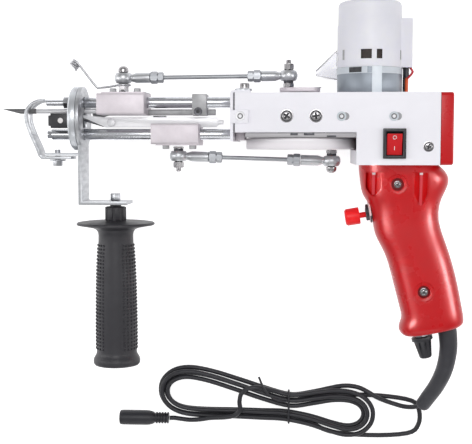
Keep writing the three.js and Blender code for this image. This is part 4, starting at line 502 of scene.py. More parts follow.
looks = {
    "whitePaint": look("white_paint", (0.94, 0.93, 0.985), (0.91, 0.9, 0.955), 1500, 40, 0.36, shine=0.3),
    "redPlastic": look("red_plastic", (0.58, 0.001, 0.005), (0.52, 0.001, 0.004), 900, 45, 0.24, shine=0.42),
    # painted shade: a dark copy of the red for the ring of shadow in the grip screws' counterbores
    "shadeRed": look("red_plastic", (0.16, 0.002, 0.004), (0.12, 0.001, 0.003), 900, 45, 0.4, shine=0.2),
    # painted highlight: a paler, pinker red that stands for the light along the ribs' edges
    "ribHighlightRed": look("red_plastic", (0.72, 0.055, 0.075), (0.66, 0.045, 0.06), 900, 45, 0.3, shine=0.4),
    # painted shade: the grey of the shaded inside of the motor's slots
    "slotShadeGrey": look("steel", (0.4, 0.4, 0.42), (0.36, 0.36, 0.38), 900, 200, 0.6, relief=10, shine=0.2),
    # painted lack of sheen: a brighter red without gloss for the scoop floors, which catch no reflection
    "scoopNoSheenRed": look("red_plastic", (0.66, 0.001, 0.003), (0.6, 0.001, 0.003), 900, 45, 0.4, shine=0.15),
    "brightRed": look("bright_red", (1, 0.018, 0.022), (0.9, 0.01, 0.014), 1100, 90, 0.3, shine=0.35),
    "rockerRed": look("bright_red", (0.66, 0.008, 0.014), (0.58, 0.006, 0.01), 1100, 90, 0.3, shine=0.4),
    "steel": look("steel", (0.52, 0.53, 0.55), (0.4, 0.41, 0.44), 700, 120, 0.27, spread=0.18, metal=1),
    "brushedPlate": look("steel", (0.5, 0.51, 0.53), (0.4, 0.41, 0.43),
        260, 70, 0.3, spread=0.2, relief=30, metal=1, stretch=(0.12, 5, 1)),
    "dullPlate": look("steel", (0.44, 0.43, 0.445), (0.36, 0.355, 0.37),
        260, 70, 0.48, spread=0.14, relief=30, metal=0.35, stretch=(0.12, 5, 1)),
    "polishedSteel": look("polished_steel", (0.62, 0.63, 0.66), (0.54, 0.55, 0.58),
        300, 60, 0.14, relief=10, metal=1, stretch=(5, 0.3, 0.3)),
    "aluminium": look("aluminium", (0.74, 0.69, 0.73), (0.67, 0.62, 0.66),
        800, 110, 0.46, spread=0.12, metal=0.45),
    "castMetal": look("steel", (0.58, 0.59, 0.61), (0.48, 0.49, 0.51),
        900, 120, 0.3, spread=0.12, metal=0.85),
    "rodSteel": look("polished_steel", (0.38, 0.39, 0.41), (0.3, 0.31, 0.33),
        500, 90, 0.32, spread=0.12, relief=10, metal=0.9, stretch=(0.3, 4, 4)),
    "discSteel": look("steel", (0.64, 0.66, 0.69), (0.56, 0.58, 0.61),
        600, 90, 0.3, spread=0.12, relief=10, metal=0.8),
    "brightBar": look("polished_steel", (0.93, 0.93, 0.95), (0.86, 0.86, 0.88),
        500, 90, 0.3, relief=10, metal=0.25),
    "smokyPlastic": look("milky_plastic", (0.66, 0.7, 0.75), (0.6, 0.65, 0.7), 500, 45, 0.3),
    "greyMetal": look("steel", (0.42, 0.42, 0.43), (0.34, 0.34, 0.35), 900, 120, 0.4, spread=0.14, metal=0.5),
    "chrome": look("steel", (0.46, 0.45, 0.46), (0.34, 0.33, 0.34),
        600, 160, 0.16, spread=0.16, relief=10, metal=1),
    "springWire": look("polished_steel", (0.5, 0.5, 0.52), (0.4, 0.4, 0.42),
        700, 160, 0.22, spread=0.16, relief=10, metal=1),
    "turnedMetal": look("steel", (0.93, 0.905, 0.935), (0.85, 0.815, 0.85),
        160, 60, 0.5, spread=0.12, relief=40, metal=0.05, stretch=(0.06, 12, 0.06)),
    "paleMetal": look("aluminium", (0.72, 0.72, 0.74), (0.64, 0.64, 0.66),
        900, 180, 0.38, spread=0.14, metal=0.4),
    "darkSteel": look("dark_steel", (0.13, 0.13, 0.14), (0.07, 0.07, 0.08),
        900, 150, 0.3, spread=0.2, metal=0.9),
    "canSteel": look("can_steel", (0.31, 0.34, 0.38), (0.26, 0.29, 0.33),
        420, 50, 0.36, spread=0.14, metal=0.55, stretch=(1, 0.12, 1)),
    "blackPlastic": look("black_plastic", (0.026, 0.026, 0.032), (0.02, 0.02, 0.024),
        1300, 90, 0.34, spread=0.12),
    "handleRubber": look("handle_rubber", (0.03, 0.029, 0.035), (0.021, 0.02, 0.025),
        1700, 60, 0.38, spread=0.14, relief=40),
    "sleeveRubber": look("cord_black", (0.036, 0.036, 0.044), (0.028, 0.028, 0.034),
        1300, 70, 0.44, spread=0.12, relief=30),
    # painted shade: the dark brown of the cover's inside, seen through the windows
    "shadeBrown": look("dark_steel", (0.02, 0.014, 0.012), (0.05, 0.035, 0.03),
        600, 300, 0.5, spread=0.2, relief=50),
    "cordBlack": look("cord_black", (0.02, 0.02, 0.026), (0.014, 0.014, 0.018),
        1200, 60, 0.38, spread=0.14, relief=30),
    "orangeWire": look("orange_wire", (0.74, 0.1, 0.012), (0.66, 0.08, 0.01), 1200, 80, 0.36),
    "redWire": look("orange_wire", (0.6, 0.01, 0.03), (0.52, 0.008, 0.024), 1200, 80, 0.34),
    "nylon": look("nylon", (0.79, 0.76, 0.68), (0.72, 0.69, 0.61), 900, 90, 0.42),
    "milkyPlastic": look("milky_plastic", (0.91, 0.905, 0.98), (0.86, 0.86, 0.94),
        500, 45, 0.32, clear=0.04, soft=0.3, shine=0.35),
    "clearPlastic": look("clear_plastic", (0.9, 0.9, 0.92), (0.87, 0.87, 0.89),
        500, 45, 0.06, spread=0.05, relief=10, clear=1),
    "stripPlastic": look("milky_plastic", (0.86, 0.91, 0.96), (0.8, 0.86, 0.92), 600, 60, 0.3),
    # painted highlight: pale pink for the glint on the ribs' top ends and the red reflection on the trigger's
    # pale washer
    "pinkGlint": look("white_paint", (0.9, 0.74, 0.74), (0.84, 0.66, 0.66), 900, 90, 0.4),
    "whiteMark": look("white_paint", (0.88, 0.86, 0.86), (0.8, 0.77, 0.77), 1500, 200, 0.45, relief=10),
    "ringMetal": look("dark_steel", (0.165, 0.165, 0.17), (0.125, 0.125, 0.13),
        900, 300, 0.36, relief=10, metal=0.4),
    # painted shade: near black for the drivers' recesses and the wide vent of the motor cover
    "recess": look("dark_steel", (0.03, 0.03, 0.033), (0.07, 0.07, 0.075), 900, 400, 0.6, relief=10),
}
surface = {"bump": 0.5, "glassIndex": 1.46, "patchRoughness": 0.6, "patchRange": (0.3, 0.7),
           "softReach": (0.004, 0.004, 0.005)}


def surfaceGroup():
    group = bpy.data.node_groups.new("surfaceGrain", "ShaderNodeTree")
    sockets = {"INPUT": {"Vector": "Vector", "Colour": "Color", "Second Colour": "Color", "Grain": "Float",
                         "Patch": "Float", "Roughness": "Float", "Spread": "Float"},
               "OUTPUT": {"Colour": "Color", "Roughness": "Float", "Height": "Float"}}
    for way, wanted in sockets.items():
        for name, kind in wanted.items():
            group.interface.new_socket(name, in_out=way, socket_type="NodeSocket" + kind)
    source = group.nodes.new("NodeGroupInput").outputs
    grain, patch = (
        newNode(group, "TexNoise", {"Vector": source["Vector"], "Scale": source[key], "Detail": detail})
        for key, detail in (("Grain", 3), ("Patch", 4)))
    patch.inputs["Roughness"].default_value = surface["patchRoughness"]
    share = fadeNode(group, patch.outputs["Fac"], *surface["patchRange"], (0, 1))
    mix = newNode(group, "Mix", {"Factor": share, "A": source["Colour"], "B": source["Second Colour"]},
                  data_type="RGBA")
    rough = newNode(group, "Math", {0: share, 1: source["Spread"], 2: source["Roughness"]},
                    operation="MULTIPLY_ADD")
    fillInputs(group, group.nodes.new("NodeGroupOutput"), {
        "Colour": mix.outputs["Result"], "Roughness": rough.outputs[0], "Height": grain.outputs["Fac"]})
    return group


def makeFinish(name, look, group):
    material = bpy.data.materials.new(name)
    material.use_nodes = True
    tree = material.node_tree
    place = newNode(tree, "TexCoord").outputs["Object"]
    stretch = newNode(tree, "Mapping", {"Vector": place, "Scale": look.get("stretch", (1, 1, 1))})
    inputs = dict(look["skin"], Vector=stretch.outputs["Vector"])
    skin = newNode(tree, "Group", inputs, node_tree=group).outputs
    bump = newNode(tree, "Bump", {
        "Height": skin["Height"], "Strength": surface["bump"], "Distance": look["relief"]})
    shader = tree.nodes["Principled BSDF"]
    fillInputs(tree, shader, {
        "Base Color": skin["Colour"], "Roughness": skin["Roughness"], "Normal": bump.outputs["Normal"],
        "Metallic": look.get("metal", 0), "Transmission Weight": look.get("clear", 0),
        "IOR": surface["glassIndex"], "Specular IOR Level": look.get("shine", 0.5)})
    if "soft" in look:
        fillInputs(tree, shader, {
            "Subsurface Weight": look["soft"], "Subsurface Radius": surface["softReach"]})
    return material


grainGroup = surfaceGroup()
finishes = {name: makeFinish(name, look, grainGroup) for name, look in looks.items()}
print("finishes made:", len(finishes))

bodyOf = {node: body for body, nodes in frame["record"]["behaviour"]["bodies"].items() for node in nodes}

# finish, edge radius in millimetres, and the nodes that take them
dressed = [
    ("whitePaint", 0.5, "housing_shell"),
    ("whitePaint", 0.4, "front_plate"),
    ("dullPlate", 0.4, "bottom_plate"),
    ("aluminium", 0.3, "shaft_block crank_arm"),
    ("steel", 0.2, "lower_bearing upper_bearing presser_foot_bolt side_handle_bolt crank_shaft"),
    ("redPlastic", 0, "rear_cap"),
    ("polishedSteel", 0.2, "upper_guide_shaft lower_guide_shaft"),
    ("discSteel", 0.25, "front_disc"),
    ("brushedPlate", 0.3, "handle_bracket presser_foot"),
    ("blackPlastic", 0.4, "guide_block"),
    ("greyMetal", 0.4, "clamp_collar"),
    ("greyMetal", 0.2, "cam_bar"),
    ("turnedMetal", 0.25, "crank_disc"),
    ("nylon", 0, "drive_gear"),
    ("canSteel", 0.3, "motor_can"),
    ("darkSteel", 0, "motor_shaft"),
    ("milkyPlastic", 0.3, "motor_cover"),
    ("clearPlastic", 0, "air_deflector"),
    ("aluminium", 0.4, "needle_slider scissor_slider"),
    ("paleMetal", 0.15, "needle_bar blade_pivot"),
    ("ringMetal", 0, "needle"),
    ("brightBar", 0.15, "fixed_blade"),
    ("darkSteel", 0.15, "moving_blade trigger_switch"),
    ("steel", 0.15, "speed_control"),
    ("blackPlastic", 0.3, "rocker_bezel"),
    ("brightRed", 0.3, "trigger_button"),
    ("rockerRed", 0.3, "rocker"),
    ("blackPlastic", 0.15, "speed_knob"),
]


trimmed = {"front_plate": ((-52, 6.82, 20), (-32, 16, 40))}  # its plain bolt, which a finished one stands for
dressing = {"merge": 0.00001, "flat": 0.6, "corner": 40}


def dressNode(node, finish, edge):
    piece = bpy.data.objects.new(node + "_finished", frame["nodes"][node].data.copy())
    bpy.context.scene.collection.objects.link(piece)
    editPiece(piece)
    bpy.ops.mesh.remove_doubles(threshold=dressing["merge"])
    bpy.ops.mesh.customdata_custom_splitnormals_clear()
    bpy.ops.mesh.dissolve_limited(angle_limit=math.radians(dressing["flat"]))
    leaveEdit()
    if node in trimmed:
        cutWith(piece, roundBlock("trim_block", *trimmed[node], 0))
    if edge:
        breakEdges(piece, edge, dressing["corner"])
    finishPiece(piece, finish, bodyOf[node], [node])


for finish, edge, nodes in dressed:
    for node in nodes.split():
        dressNode(node, finish, edge)
print("parts dressed")

# heads at a radius of one millimetre, each turned once and then copied: steps and profile
headShapes = {
    "cross": (32, [(0, -0.1), (1, -0.1), (1, 0.08), (0.97, 0.13), (0.87, 0.15), (0.83, 0.24), (0.68, 0.42),
                   (0.4, 0.52), (0, 0.55)]),
    "socket": (32, [(0, -0.1), (1, -0.1), (1, 0.62), (0.94, 0.7), (0.72, 0.7), (0.66, 0.66), (0, 0.66)]),
    "washer": (36, [(0.45, 0), (1, 0), (1, 0.12), (0.94, 0.18), (0.5, 0.18), (0.45, 0.12), (0.45, 0)]),
    "round": (28, [(0, -0.1), (1, -0.1), (1, 0.9), (0.9, 1.05), (0.55, 1.05), (0.5, 0.8), (0, 0.8)]),
    "ring": (28, [(0, -0.1), (1, -0.1), (1, 0.7), (0.88, 0.85), (0.66, 0.85), (0.6, 0.55), (0.2, 0.55),
                  (0.14, 0.3), (0, 0.3)]),
}
hexDome = [(0, -0.2), (1.1, -0.2), (1.1, 0.45), (0.98, 0.6), (0.8, 0.75), (0, 0.75)]
crossBlade = {"height": 0.42, "size": (1.5, 0.34, 0.66), "taperBelow": 0.3, "taper": (0.35, 0.7, 1)}


def hexRod(name, radius, depth, height):
    return newShape(bpy.ops.mesh.primitive_cylinder_add, name, vertices=6, radius=radius * mm,
                    depth=depth * mm, location=(0, 0, height * mm))


def cutCross(head):
    scale = [side * mm for side in crossBlade["size"]]
    for turn in (0, quarter):
        blade = newShape(bpy.ops.mesh.primitive_cube_add, "blade", size=1,
                         location=(0, 0, crossBlade["height"] * mm), scale=scale)
        settle(blade)
        editPiece(blade)
        pickPoints(blade, lambda index, place: place.z < crossBlade["taperBelow"] * mm)
        bpy.ops.transform.resize(value=crossBlade["taper"], center_override=(0, 0, 0))
        leaveEdit()
        setPiece(blade, (0, 0, 0), turn=turn + math.pi / 4)
        cutWith(head, blade)


def hexHead():
    head = hexRod("hex_head", 1, 0.8, 0.35)
    settle(head)
    cutWith(head, turnedPiece("hex_dome", hexDome, 32), "INTERSECT")
    return head


fastenerKinds = {kind: turnedPiece(kind + "_head", shape, steps)
                 for kind, (steps, shape) in headShapes.items()}
cutCross(fastenerKinds["cross"])
cutWith(fastenerKinds["socket"], hexRod("socket", 0.5, 0.8, 0.68))
fastenerKinds["hex"] = hexHead()
# within this radius, faces lower than this count as the driver's recess, and take the finish given last; the
# dark recess finish is painted shade in the recess
recesses = {"cross": (0.86, 0.37, "recess"), "socket": (0.53, 0.6, "recess"), "round": (0.52, 0.85, "recess"),
            "ring": (0.62, 0.6, "paleMetal")}

# kind, radius, height share, place in drawing millimetres, direction, turn, finish, and a moving body
fasteners = {
    "box_screw_front": ("cross", 4.5, 0.5, (-10, -10.9, 41), "Z", 0.2, "chrome"),
    "box_screw_middle": ("cross", 4.5, 0.5, (9.7, -10.9, 41), "Z", 0.9, "chrome"),
    "box_screw_rear": ("cross", 3.6, 0.5, (85.1, -31.5, 41), "Z", 0.5, "chrome"),
    "motor_washer_front": ("washer", 3.2, 0.8, (26.9, -11.2, 41.1), "Z", 0, "smokyPlastic"),
    "motor_screw_front": ("ring", 1.9, 0.8, (26.9, -11.2, 41.3), "Z", 0.3, "ringMetal"),
    "motor_washer_rear": ("washer", 3.2, 0.8, (61.9, -11.2, 41.1), "Z", 0, "smokyPlastic"),
    "motor_screw_rear": ("ring", 1.9, 0.8, (61.9, -11.2, 41.3), "Z", 0.8, "ringMetal"),
    "tab_washer": ("washer", 3.3, 0.8, (-41.3, -11, 43), "Z", 0, "paleMetal"),
    "tab_screw": ("ring", 1.9, 0.5, (-41.3, -11, 43.2), "Z", 0.1, "ringMetal"),
    "top_tab_washer": ("washer", 6, 1.3, (-40, 6.8, 28), "Y", 0, "steel"),
    "top_tab_bolt": ("socket", 3.4, 1.6, (-39.2, 8, 28), "Y", 0.2, "chrome"),
    "needle_slider_screw_front": (
        "round", 2.5, 1, (-133.6, 6.95, 12), "Y", 0, "greyMetal", "needle_carriage"),
    "needle_slider_screw_rear": (
        "round", 2.5, 1, (-116.2, 6.95, 12), "Y", 0, "greyMetal", "needle_carriage"),
    "scissor_slider_screw_front": (
        "round", 2.5, 1, (-96, -30.75, 12), "-Y", 0, "greyMetal", "scissor_carriage"),
    "scissor_slider_screw_rear": (
        "round", 2.6, 1, (-76.8, -30.75, 12), "-Y", 0, "greyMetal", "scissor_carriage"),
    "collar_screw": ("socket", 3, 0.5, (-73.4, -6.7, 8.3), "Z", 0.4, "darkSteel"),
    "grip_screw_upper": ("cross", 2.5, 0.9, (67.1, -57.9, 17.1), "Z", 0.6, "chrome"),
    "grip_screw_lower": ("cross", 2.8, 0.9, (86.6, -133.7, 14.9), "Z", 0.3, "chrome"),
    "crank_arm_nut": ("hex", 2.8, 0.17, (11.6, 10.2, 0), "Y", 0.3, "darkSteel", "crank"),
}


def recessFaces(kind):
    reach, top = (value * mm for value in recesses.get(kind, (0, 0))[:2])
    faces = fastenerKinds[kind].data.polygons
    return [face.index for face in faces
            if math.hypot(face.center.x, face.center.y) < reach and face.center.z < top
            and face.normal.z > -0.5]


def addFasteners():
    for name, (kind, radius, height, place, axis, turn, finish, *body) in fasteners.items():
        piece = copyPiece(fastenerKinds[kind], name)
        setPiece(piece, spot(*place), axis, turn, (radius, radius, radius * height))
        finishPiece(piece, finish, *body, degrees=30)
        if recessFaces(kind):
            piece.data.materials.append(finishes[recesses[kind][2]])
        for index in recessFaces(kind):
            piece.data.polygons[index].material_index = 1
    for piece in fastenerKinds.values():
        bpy.data.objects.remove(piece)


addFasteners()

# the two slots that the motor is moved along, seen beside their washers: grey plates that paint the shade
# inside the slots
slots = {"motor_slot_shade_front": 26.9, "motor_slot_shade_rear": 61.9}
slotShape = {"start": -1, "end": 5.2, "y": -11.2, "half": 2.6, "low": 40.6, "high": 41.05, "round": 0.96}


def addSlots():
    y, half = slotShape["y"], slotShape["half"]
    for name, x in slots.items():
        slot = roundBlock(name, (x + slotShape["start"], y - half, slotShape["low"]),
                          (x + slotShape["end"], y + half, slotShape["high"]), 0)
        pickEdges(slot, lambda one, two: abs(one.z - two.z) > mm * 0.1)
        bpy.ops.mesh.bevel(offset=half * slotShape["round"] * mm, segments=8, affect="EDGES")
        leaveEdit()
        finishPiece(slot, "slotShadeGrey")


addSlots()
print("fasteners in place:", len(fasteners))

# pistol grip: rings of eight points, bridged, smoothed, split and hollowed
grip = {
    # height and x of the front edge, height and x of the rear edge, half depth
    "rings": [
        (41, -44.3, 96.6, -44.3, 20), (41.1, -48.5, 102, -48.5, 20), (41.8, -54.5, 105.2, -54.5, 19.6),
        (42.7, -61.4, 102.9, -62, 19), (44.2, -66.8, 99.6, -68, 18.2), (49, -72.6, 97.7, -75, 17.5),
        (51.2, -83.5, 97.6, -83.5, 17), (52.6, -94, 100, -92, 17), (56.8, -101.5, 103.4, -101, 17),
        (61.5, -110.5, 106.4, -109.5, 17), (65, -123, 109.6, -120.5, 17), (68.8, -138, 112.4, -132, 17),
        (72.4, -150.8, 114.9, -144.8, 17), (72.9, -154.9, 116.3, -151.5, 17),
        (70.9, -159.6, 116.7, -156, 16.6), (70.7, -163.2, 116.2, -157.6, 16),
        (73, -166.6, 114.5, -159.2, 14.8), (76.9, -168.3, 112.3, -160.3, 13),
    ],
    "axisReach": 1.0512,
    "cornerReach": 1.2076,
    "wall": 3.1,
    "seam": 0.15,
    "scoops": [
        {"left": 45.4, "right": 55.8, "low": -65.2, "high": -49.6, "tail": 1.2},
        {"left": 78.4, "right": 88, "low": -68.6, "high": -49.6, "tail": 1.9},
    ],
    "scoopDepth": 2.3,
    "scoopProfile": 0.34,
    "scoopRound": 0.47,
    "brokenEdge": 0.42,
    "rib": {"half": 0.9, "foot": 1.2, "top": 0.2, "proud": 0.1, "edge": 0.35, "tailShare": 6},
    # a thin pale skin at each rib's top end, painted highlight
    "ribTipGlint": {"half": 1.08, "foot": 1.6, "top": 0.1, "proud": 0.05, "depth": 0.7},
    "ringPoints": 8,
    "recess": [(0, -2.5), (4.4, -2.5), (4.6, -1), (6.6, -0.7), (7.1, -0.1), (7.1, 6), (0, 6)],
    # the ring of painted shade at the bottom of each screw's counterbore: radii inside and outside, low and
    # high
    "recessShadeRing": (1.6, 4.3, -2.6, -2.35),
    "screws": [(67.1, -57.9), (86.6, -133.7)],
    "holes": [
        {"radius": 4.5, "place": (50, -77.6, 0), "axis": "X", "lean": 9.3, "depth": 16},
        {"radius": 5.2, "place": (86.5, -165, 0), "axis": "Y", "lean": 9, "depth": 16},
    ],
}


def pickRings(body, first, count):
    points = grip["ringPoints"]
    pickPoints(body, lambda index, place: first * points <= index < (first + count) * points)


def gripBody():
    rings, points = grip["rings"], grip["ringPoints"]
    clearPick()
    made = None
    for index, (x0, y0, x1, y1, depth) in enumerate(rings):
        front, rear = spot(x0, y0, 0), spot(x1, y1, 0)
        half = (rear - front).length / 2
        wide, deep = half * 0.2, depth * mm * 0.2
        bpy.ops.mesh.primitive_circle_add(vertices=points, radius=half * grip["axisReach"],
                                          location=(0, 0, 0))
        if made is None:
            made = bpy.context.object
            made.name = "grip_body"
            bpy.ops.object.mode_set(mode="EDIT")
        bpy.ops.transform.resize(value=(1, depth * mm / half, 1), center_override=(0, 0, 0))
        pickPoints(made, lambda number, place: number >= index * points and abs(place.x) > wide
                   and abs(place.y) > deep)
        bpy.ops.transform.resize(value=(grip["cornerReach"],) * 3, center_override=(0, 0, 0))
        mesh = bmesh.from_edit_mesh(made.data)
        mesh.verts.ensure_lookup_table()
        lean = Matrix.Rotation(math.atan2(y1 - y0, x1 - x0), 4, "Z") @ Matrix.Rotation(quarter, 4, "X")
        place = Matrix.Translation((front + rear) / 2) @ lean
        bmesh.ops.transform(mesh, matrix=place, verts=mesh.verts[index * points:])
        bmesh.update_edit_mesh(made.data)
        bpy.ops.mesh.select_all(action="DESELECT")
    for index in range(len(rings) - 1):
        pickRings(made, index, 2)
        bpy.ops.mesh.bridge_edge_loops()
    pickRings(made, 0, 1)
    bpy.ops.transform.edge_crease(value=1)
    bpy.ops.mesh.edge_face_add()
    pickRings(made, len(rings) - 1, 1)
    bpy.ops.mesh.edge_face_add()
    leaveEdit()
    tidyMesh(made)
    applyModifier(made, "SUBSURF", levels=3, render_levels=3)
    return made


def gripTop(body, x, y):
    start = spot(x, y, 40)
    return (body.ray_cast(start, Vector((0, 0, -1)))[1].z - drawnShift.z) / mm


def gripCore(body, depth):
    core = copyPiece(body, "grip_core")
    applyModifier(core, "DISPLACE", direction="NORMAL", strength=-depth * mm, mid_level=0)
    return core


def scoopCutter(scoop, body):
    wide, tall = scoop["right"] - scoop["left"], scoop["high"] - scoop["low"]
    curve = wide * grip["scoopRound"] * mm
    cutter = newShape(bpy.ops.mesh.primitive_cube_add, "scoop", size=1, location=(0, 0, 0),
                      scale=(wide * mm, tall * mm, 30 * mm))
    settle(cutter)
    pickEdges(cutter, lambda one, two: one.y < 0 and two.y < 0 and abs(one.z - two.z) > mm)
    bpy.ops.mesh.bevel(offset=curve, segments=8, profile=grip["scoopProfile"], affect="EDGES")
    bpy.ops.mesh.select_mode(type="VERT")
    start = -tall / 2 * mm + curve
    pickPoints(cutter, lambda index, place: place.y < start + 0.00001)
    bpy.ops.transform.resize(value=(1, scoop["tail"], 1), center_override=(0, start, 0))
    leaveEdit()
    cutter.location = spot((scoop["left"] + scoop["right"]) / 2, (scoop["low"] + scoop["high"]) / 2, 20)
    settle(cutter)
    cutWith(cutter, gripCore(body, grip["scoopDepth"]))
    return cutter


# the scoop floors take a red without sheen, painting how they catch no reflection
def colourScoops(half, body):
    half.data.materials.append(finishes["scoopNoSheenRed"])
    for face in half.data.polygons:
        x, y, z = (face.center - drawnShift) / mm
        inside = any(scoop["left"] < x < scoop["right"] and scoop["low"] - 6 < y < scoop["high"]
                     for scoop in grip["scoops"])
        if inside and z > 0 and face.normal.z > 0.5 and gripTop(body, x, y) - z > grip["scoopDepth"] * 0.7:
            face.material_index = 1


def cutRecess(half, place):
    recess = turnedPiece("recess", grip["recess"], 48)
    setPiece(recess, place)
    cutWith(half, recess)
    # a dark red ring at the bottom of the counterbore, painted shade round the screw head
    ring = ringPiece("grip_screw_shade_ring", *grip["recessShadeRing"], 48)
    setPiece(ring, place)
    finishPiece(ring, "shadeRed")


def gripHalf(body, name, side):
    half = copyPiece(body, name + "_finished")
    editPiece(half)
    bpy.ops.mesh.bisect(plane_co=spot(0, 0, grip["seam"] * side), plane_no=(0, 0, side), clear_inner=True)
    leaveEdit()
    tidyMesh(half)
    applyModifier(half, "SOLIDIFY", thickness=grip["wall"] * mm, offset=-1, use_even_offset=True)
    if side > 0:
        for scoop in grip["scoops"]:
            cutWith(half, scoopCutter(scoop, body))
        for x, y in grip["screws"]:
            cutRecess(half, spot(x, y, gripTop(body, x, y)))
    for hole in grip["holes"]:
        drill = newShape(bpy.ops.mesh.primitive_cylinder_add, "drill", vertices=40,
                         radius=hole["radius"] * mm, depth=hole["depth"] * mm)
        setPiece(drill, spot(*hole["place"]), hole["axis"], lean=hole["lean"])
        cutWith(half, drill)
    breakEdges(half, grip["brokenEdge"], 50)
    finishPiece(half, "redPlastic", replaced=[name + "_half"], degrees=30)
    stripReceivers.objects.link(half)
    if side > 0:
        colourScoops(half, body)


def gripRibs(body):
    rib, tip = grip["rib"], grip["ribTipGlint"]
    for index, scoop in enumerate(grip["scoops"]):
        x, high = (scoop["left"] + scoop["right"]) / 2, scoop["high"]
        low = scoop["low"] - (scoop["tail"] - 1) * rib["tailShare"]
        piece = roundBlock("grip_rib_" + str(index), (x - rib["half"], low + rib["foot"], 8),
                           (x + rib["half"], high - rib["top"], 30), 0)
        cutWith(piece, gripCore(body, rib["proud"]), "INTERSECT")
        cutWith(piece, gripCore(body, grip["scoopDepth"] + rib["proud"]))
        breakEdges(piece, rib["edge"], 50)
        # the ribs take a paler red, painted highlight along them
        finishPiece(piece, "ribHighlightRed")
        # a pale skin on the rib's top end, painted highlight
        piece = roundBlock("grip_rib_glint_" + str(index), (x - tip["half"], high - tip["foot"], 8),
                           (x + tip["half"], high - tip["top"], 30), 0)
        cutWith(piece, gripCore(body, -tip["proud"]), "INTERSECT")
        cutWith(piece, gripCore(body, tip["depth"]))
        finishPiece(piece, "pinkGlint")


gripSolid = gripBody()
gripHalf(gripSolid, "grip_near", 1)
gripHalf(gripSolid, "grip_far", -1)
gripRibs(gripSolid)
bpy.data.objects.remove(gripSolid)
print("grip shaped")

# side handle: turned, with a fluted collar and two panels of small nubs
handle = {
    "x": -134.7,
    "profile": [
        (3.4, -73.9), (4, -73.9), (4, -75), (6.6, -75.1), (7, -75.6), (7, -85), (9.5, -85.1), (16, -85.5),
        (24, -86.1), (27.6, -86.6), (28.3, -87.2), (28.35, -87.9), (27.8, -88.5), (22, -89.5),
        (16.8, -90.6), (14.2, -91.8), (13, -93.6), (12.6, -96), (12.75, -101), (13.15, -107), (13.7, -116),
        (14.1, -126), (14.35, -136), (14.6, -150), (14.75, -165), (14.75, -175), (14.7, -181.5),
        (14.9, -183.1), (15.8, -184.7), (16.8, -186.5), (17.1, -188.3), (17, -189.9), (16.2, -191.1),
        (14.5, -191.45), (0, -191.5),
    ],
    "bore": [(0, -99.5), (3.4, -99.5)],
    "flutes": 8,
    "flute": ((-1.9, -84.95, 5.4), (1.9, -75.3, 7.55), 0.55),
    "rubberTop": -96,
    "rubberRadius": 12.6,
    "rows": 30,
    "rowStart": -103.2,
    "rowPitch": 2.6,
    "nubAngles": [33, 46, 59, 72, 85, 98, 111, 124, 137],
    "nub": (1.55, 0.75, 1.5),
}


def handleRadius(y):
    for (r0, y0), (r1, y1) in zip(handle["profile"], handle["profile"][1:]):
        if y1 <= y <= y0 and y1 < y0 and y < handle["rubberTop"]:
            return r0 + (r1 - r0) * (y0 - y) / (y0 - y1)
    return handle["rubberRadius"]


def roundHandle(piece, angle):
    middle = Matrix.Translation(spot(handle["x"], 0, 0))
    piece.data.transform(middle @ Matrix.Rotation(angle, 4, "Y") @ Matrix.Translation(-drawnShift))
    return piece


def addHandle():
    turned = turnedPiece("handle_turned", handle["bore"] + handle["profile"], 72)
    setPiece(turned, spot(handle["x"], 0, 0), "Y")
    editPiece(turned)
    bpy.ops.mesh.normals_make_consistent(inside=False)
    leaveEdit()
    pieces = [turned]
    for index in range(handle["flutes"]):
        flute = roundBlock("flute", *handle["flute"])
        pieces.append(roundHandle(flute, 2 * math.pi * (index + 0.5) / handle["flutes"]))
    wide, proud, tall = handle["nub"]
    for row in range(handle["rows"]):
        y = handle["rowStart"] - row * handle["rowPitch"]
        radius = handleRadius(y)
        base = roundBlock("nub_base", (-wide / 2, y - tall / 2, radius - 0.3),
                          (wide / 2, y + tall / 2, radius + proud), 0.35, 1)
        for side in (1, -1):
            for angle in handle["nubAngles"]:
                pieces.append(roundHandle(copyPiece(base, "nub"), side * math.radians(angle)))
        bpy.data.objects.remove(base)
    finishPiece(joinAll(pieces, "handle_finished"), "handleRubber", replaced=["side_handle"], degrees=30)


addHandle()
print("side handle turned")

# rod ends, tie rods and ball pins of the two rods
rods = {
    "upper": {"front": (-128.1, 17.6, 0), "rear": (-9.3, 18.8, 0), "barrel": 12.3, "body": "upper_rod"},
    "lower": {"front": (-88.4, -38.4, 0), "rear": (21.6, -41.9, 0), "barrel": 14.7, "body": "lower_rod"},
}
rodShape = {
    "head": [(4.5, -3.7), (5.3, -3.55), (6, -2.4), (6.4, -1.2), (6.5, 0), (6.4, 1.2), (6, 2.4), (5.3, 3.55),
             (4.5, 3.7), (4.5, -3.7)],
    "neck": [(0, 5.2), (2.9, 5.2), (2.7, 6), (2.8, 6.8), (3.5, 8.9), (3.75, 9.6)],
    "nutGap": 0.2,
    "collar": 4.5,
    "collarLength": 5.2,
    "stopNut": 3.9,
    "stopNutLength": 4.2,
    "rod": 1.55,
    "rodInset": 0.5,
    "barrelStart": 7.2,
    "barrelGap": 0.1,
    "barrelEdge": (3.75, 0.4, 3.35),  # radius, height of the edge and radius at the end
}


nutShape = {"edge": 0.13, "wide": 1.01, "slope": 1.2}  # the turned corners, as shares of the radius


def nutBetween(radius, start, end):
    nut = hexRod("nut", radius, end - start, (start + end) / 2)
    settle(nut)
    edge, wide = radius * nutShape["edge"], radius * nutShape["wide"]
    rise = edge * nutShape["slope"]
    shell = turnedPiece("nut_shell", [(0, start), (radius - edge, start), (wide, start + rise),
                                      (wide, end - rise), (radius - edge, end), (0, end)], 32)
    cutWith(nut, shell, "INTERSECT")
    return nut


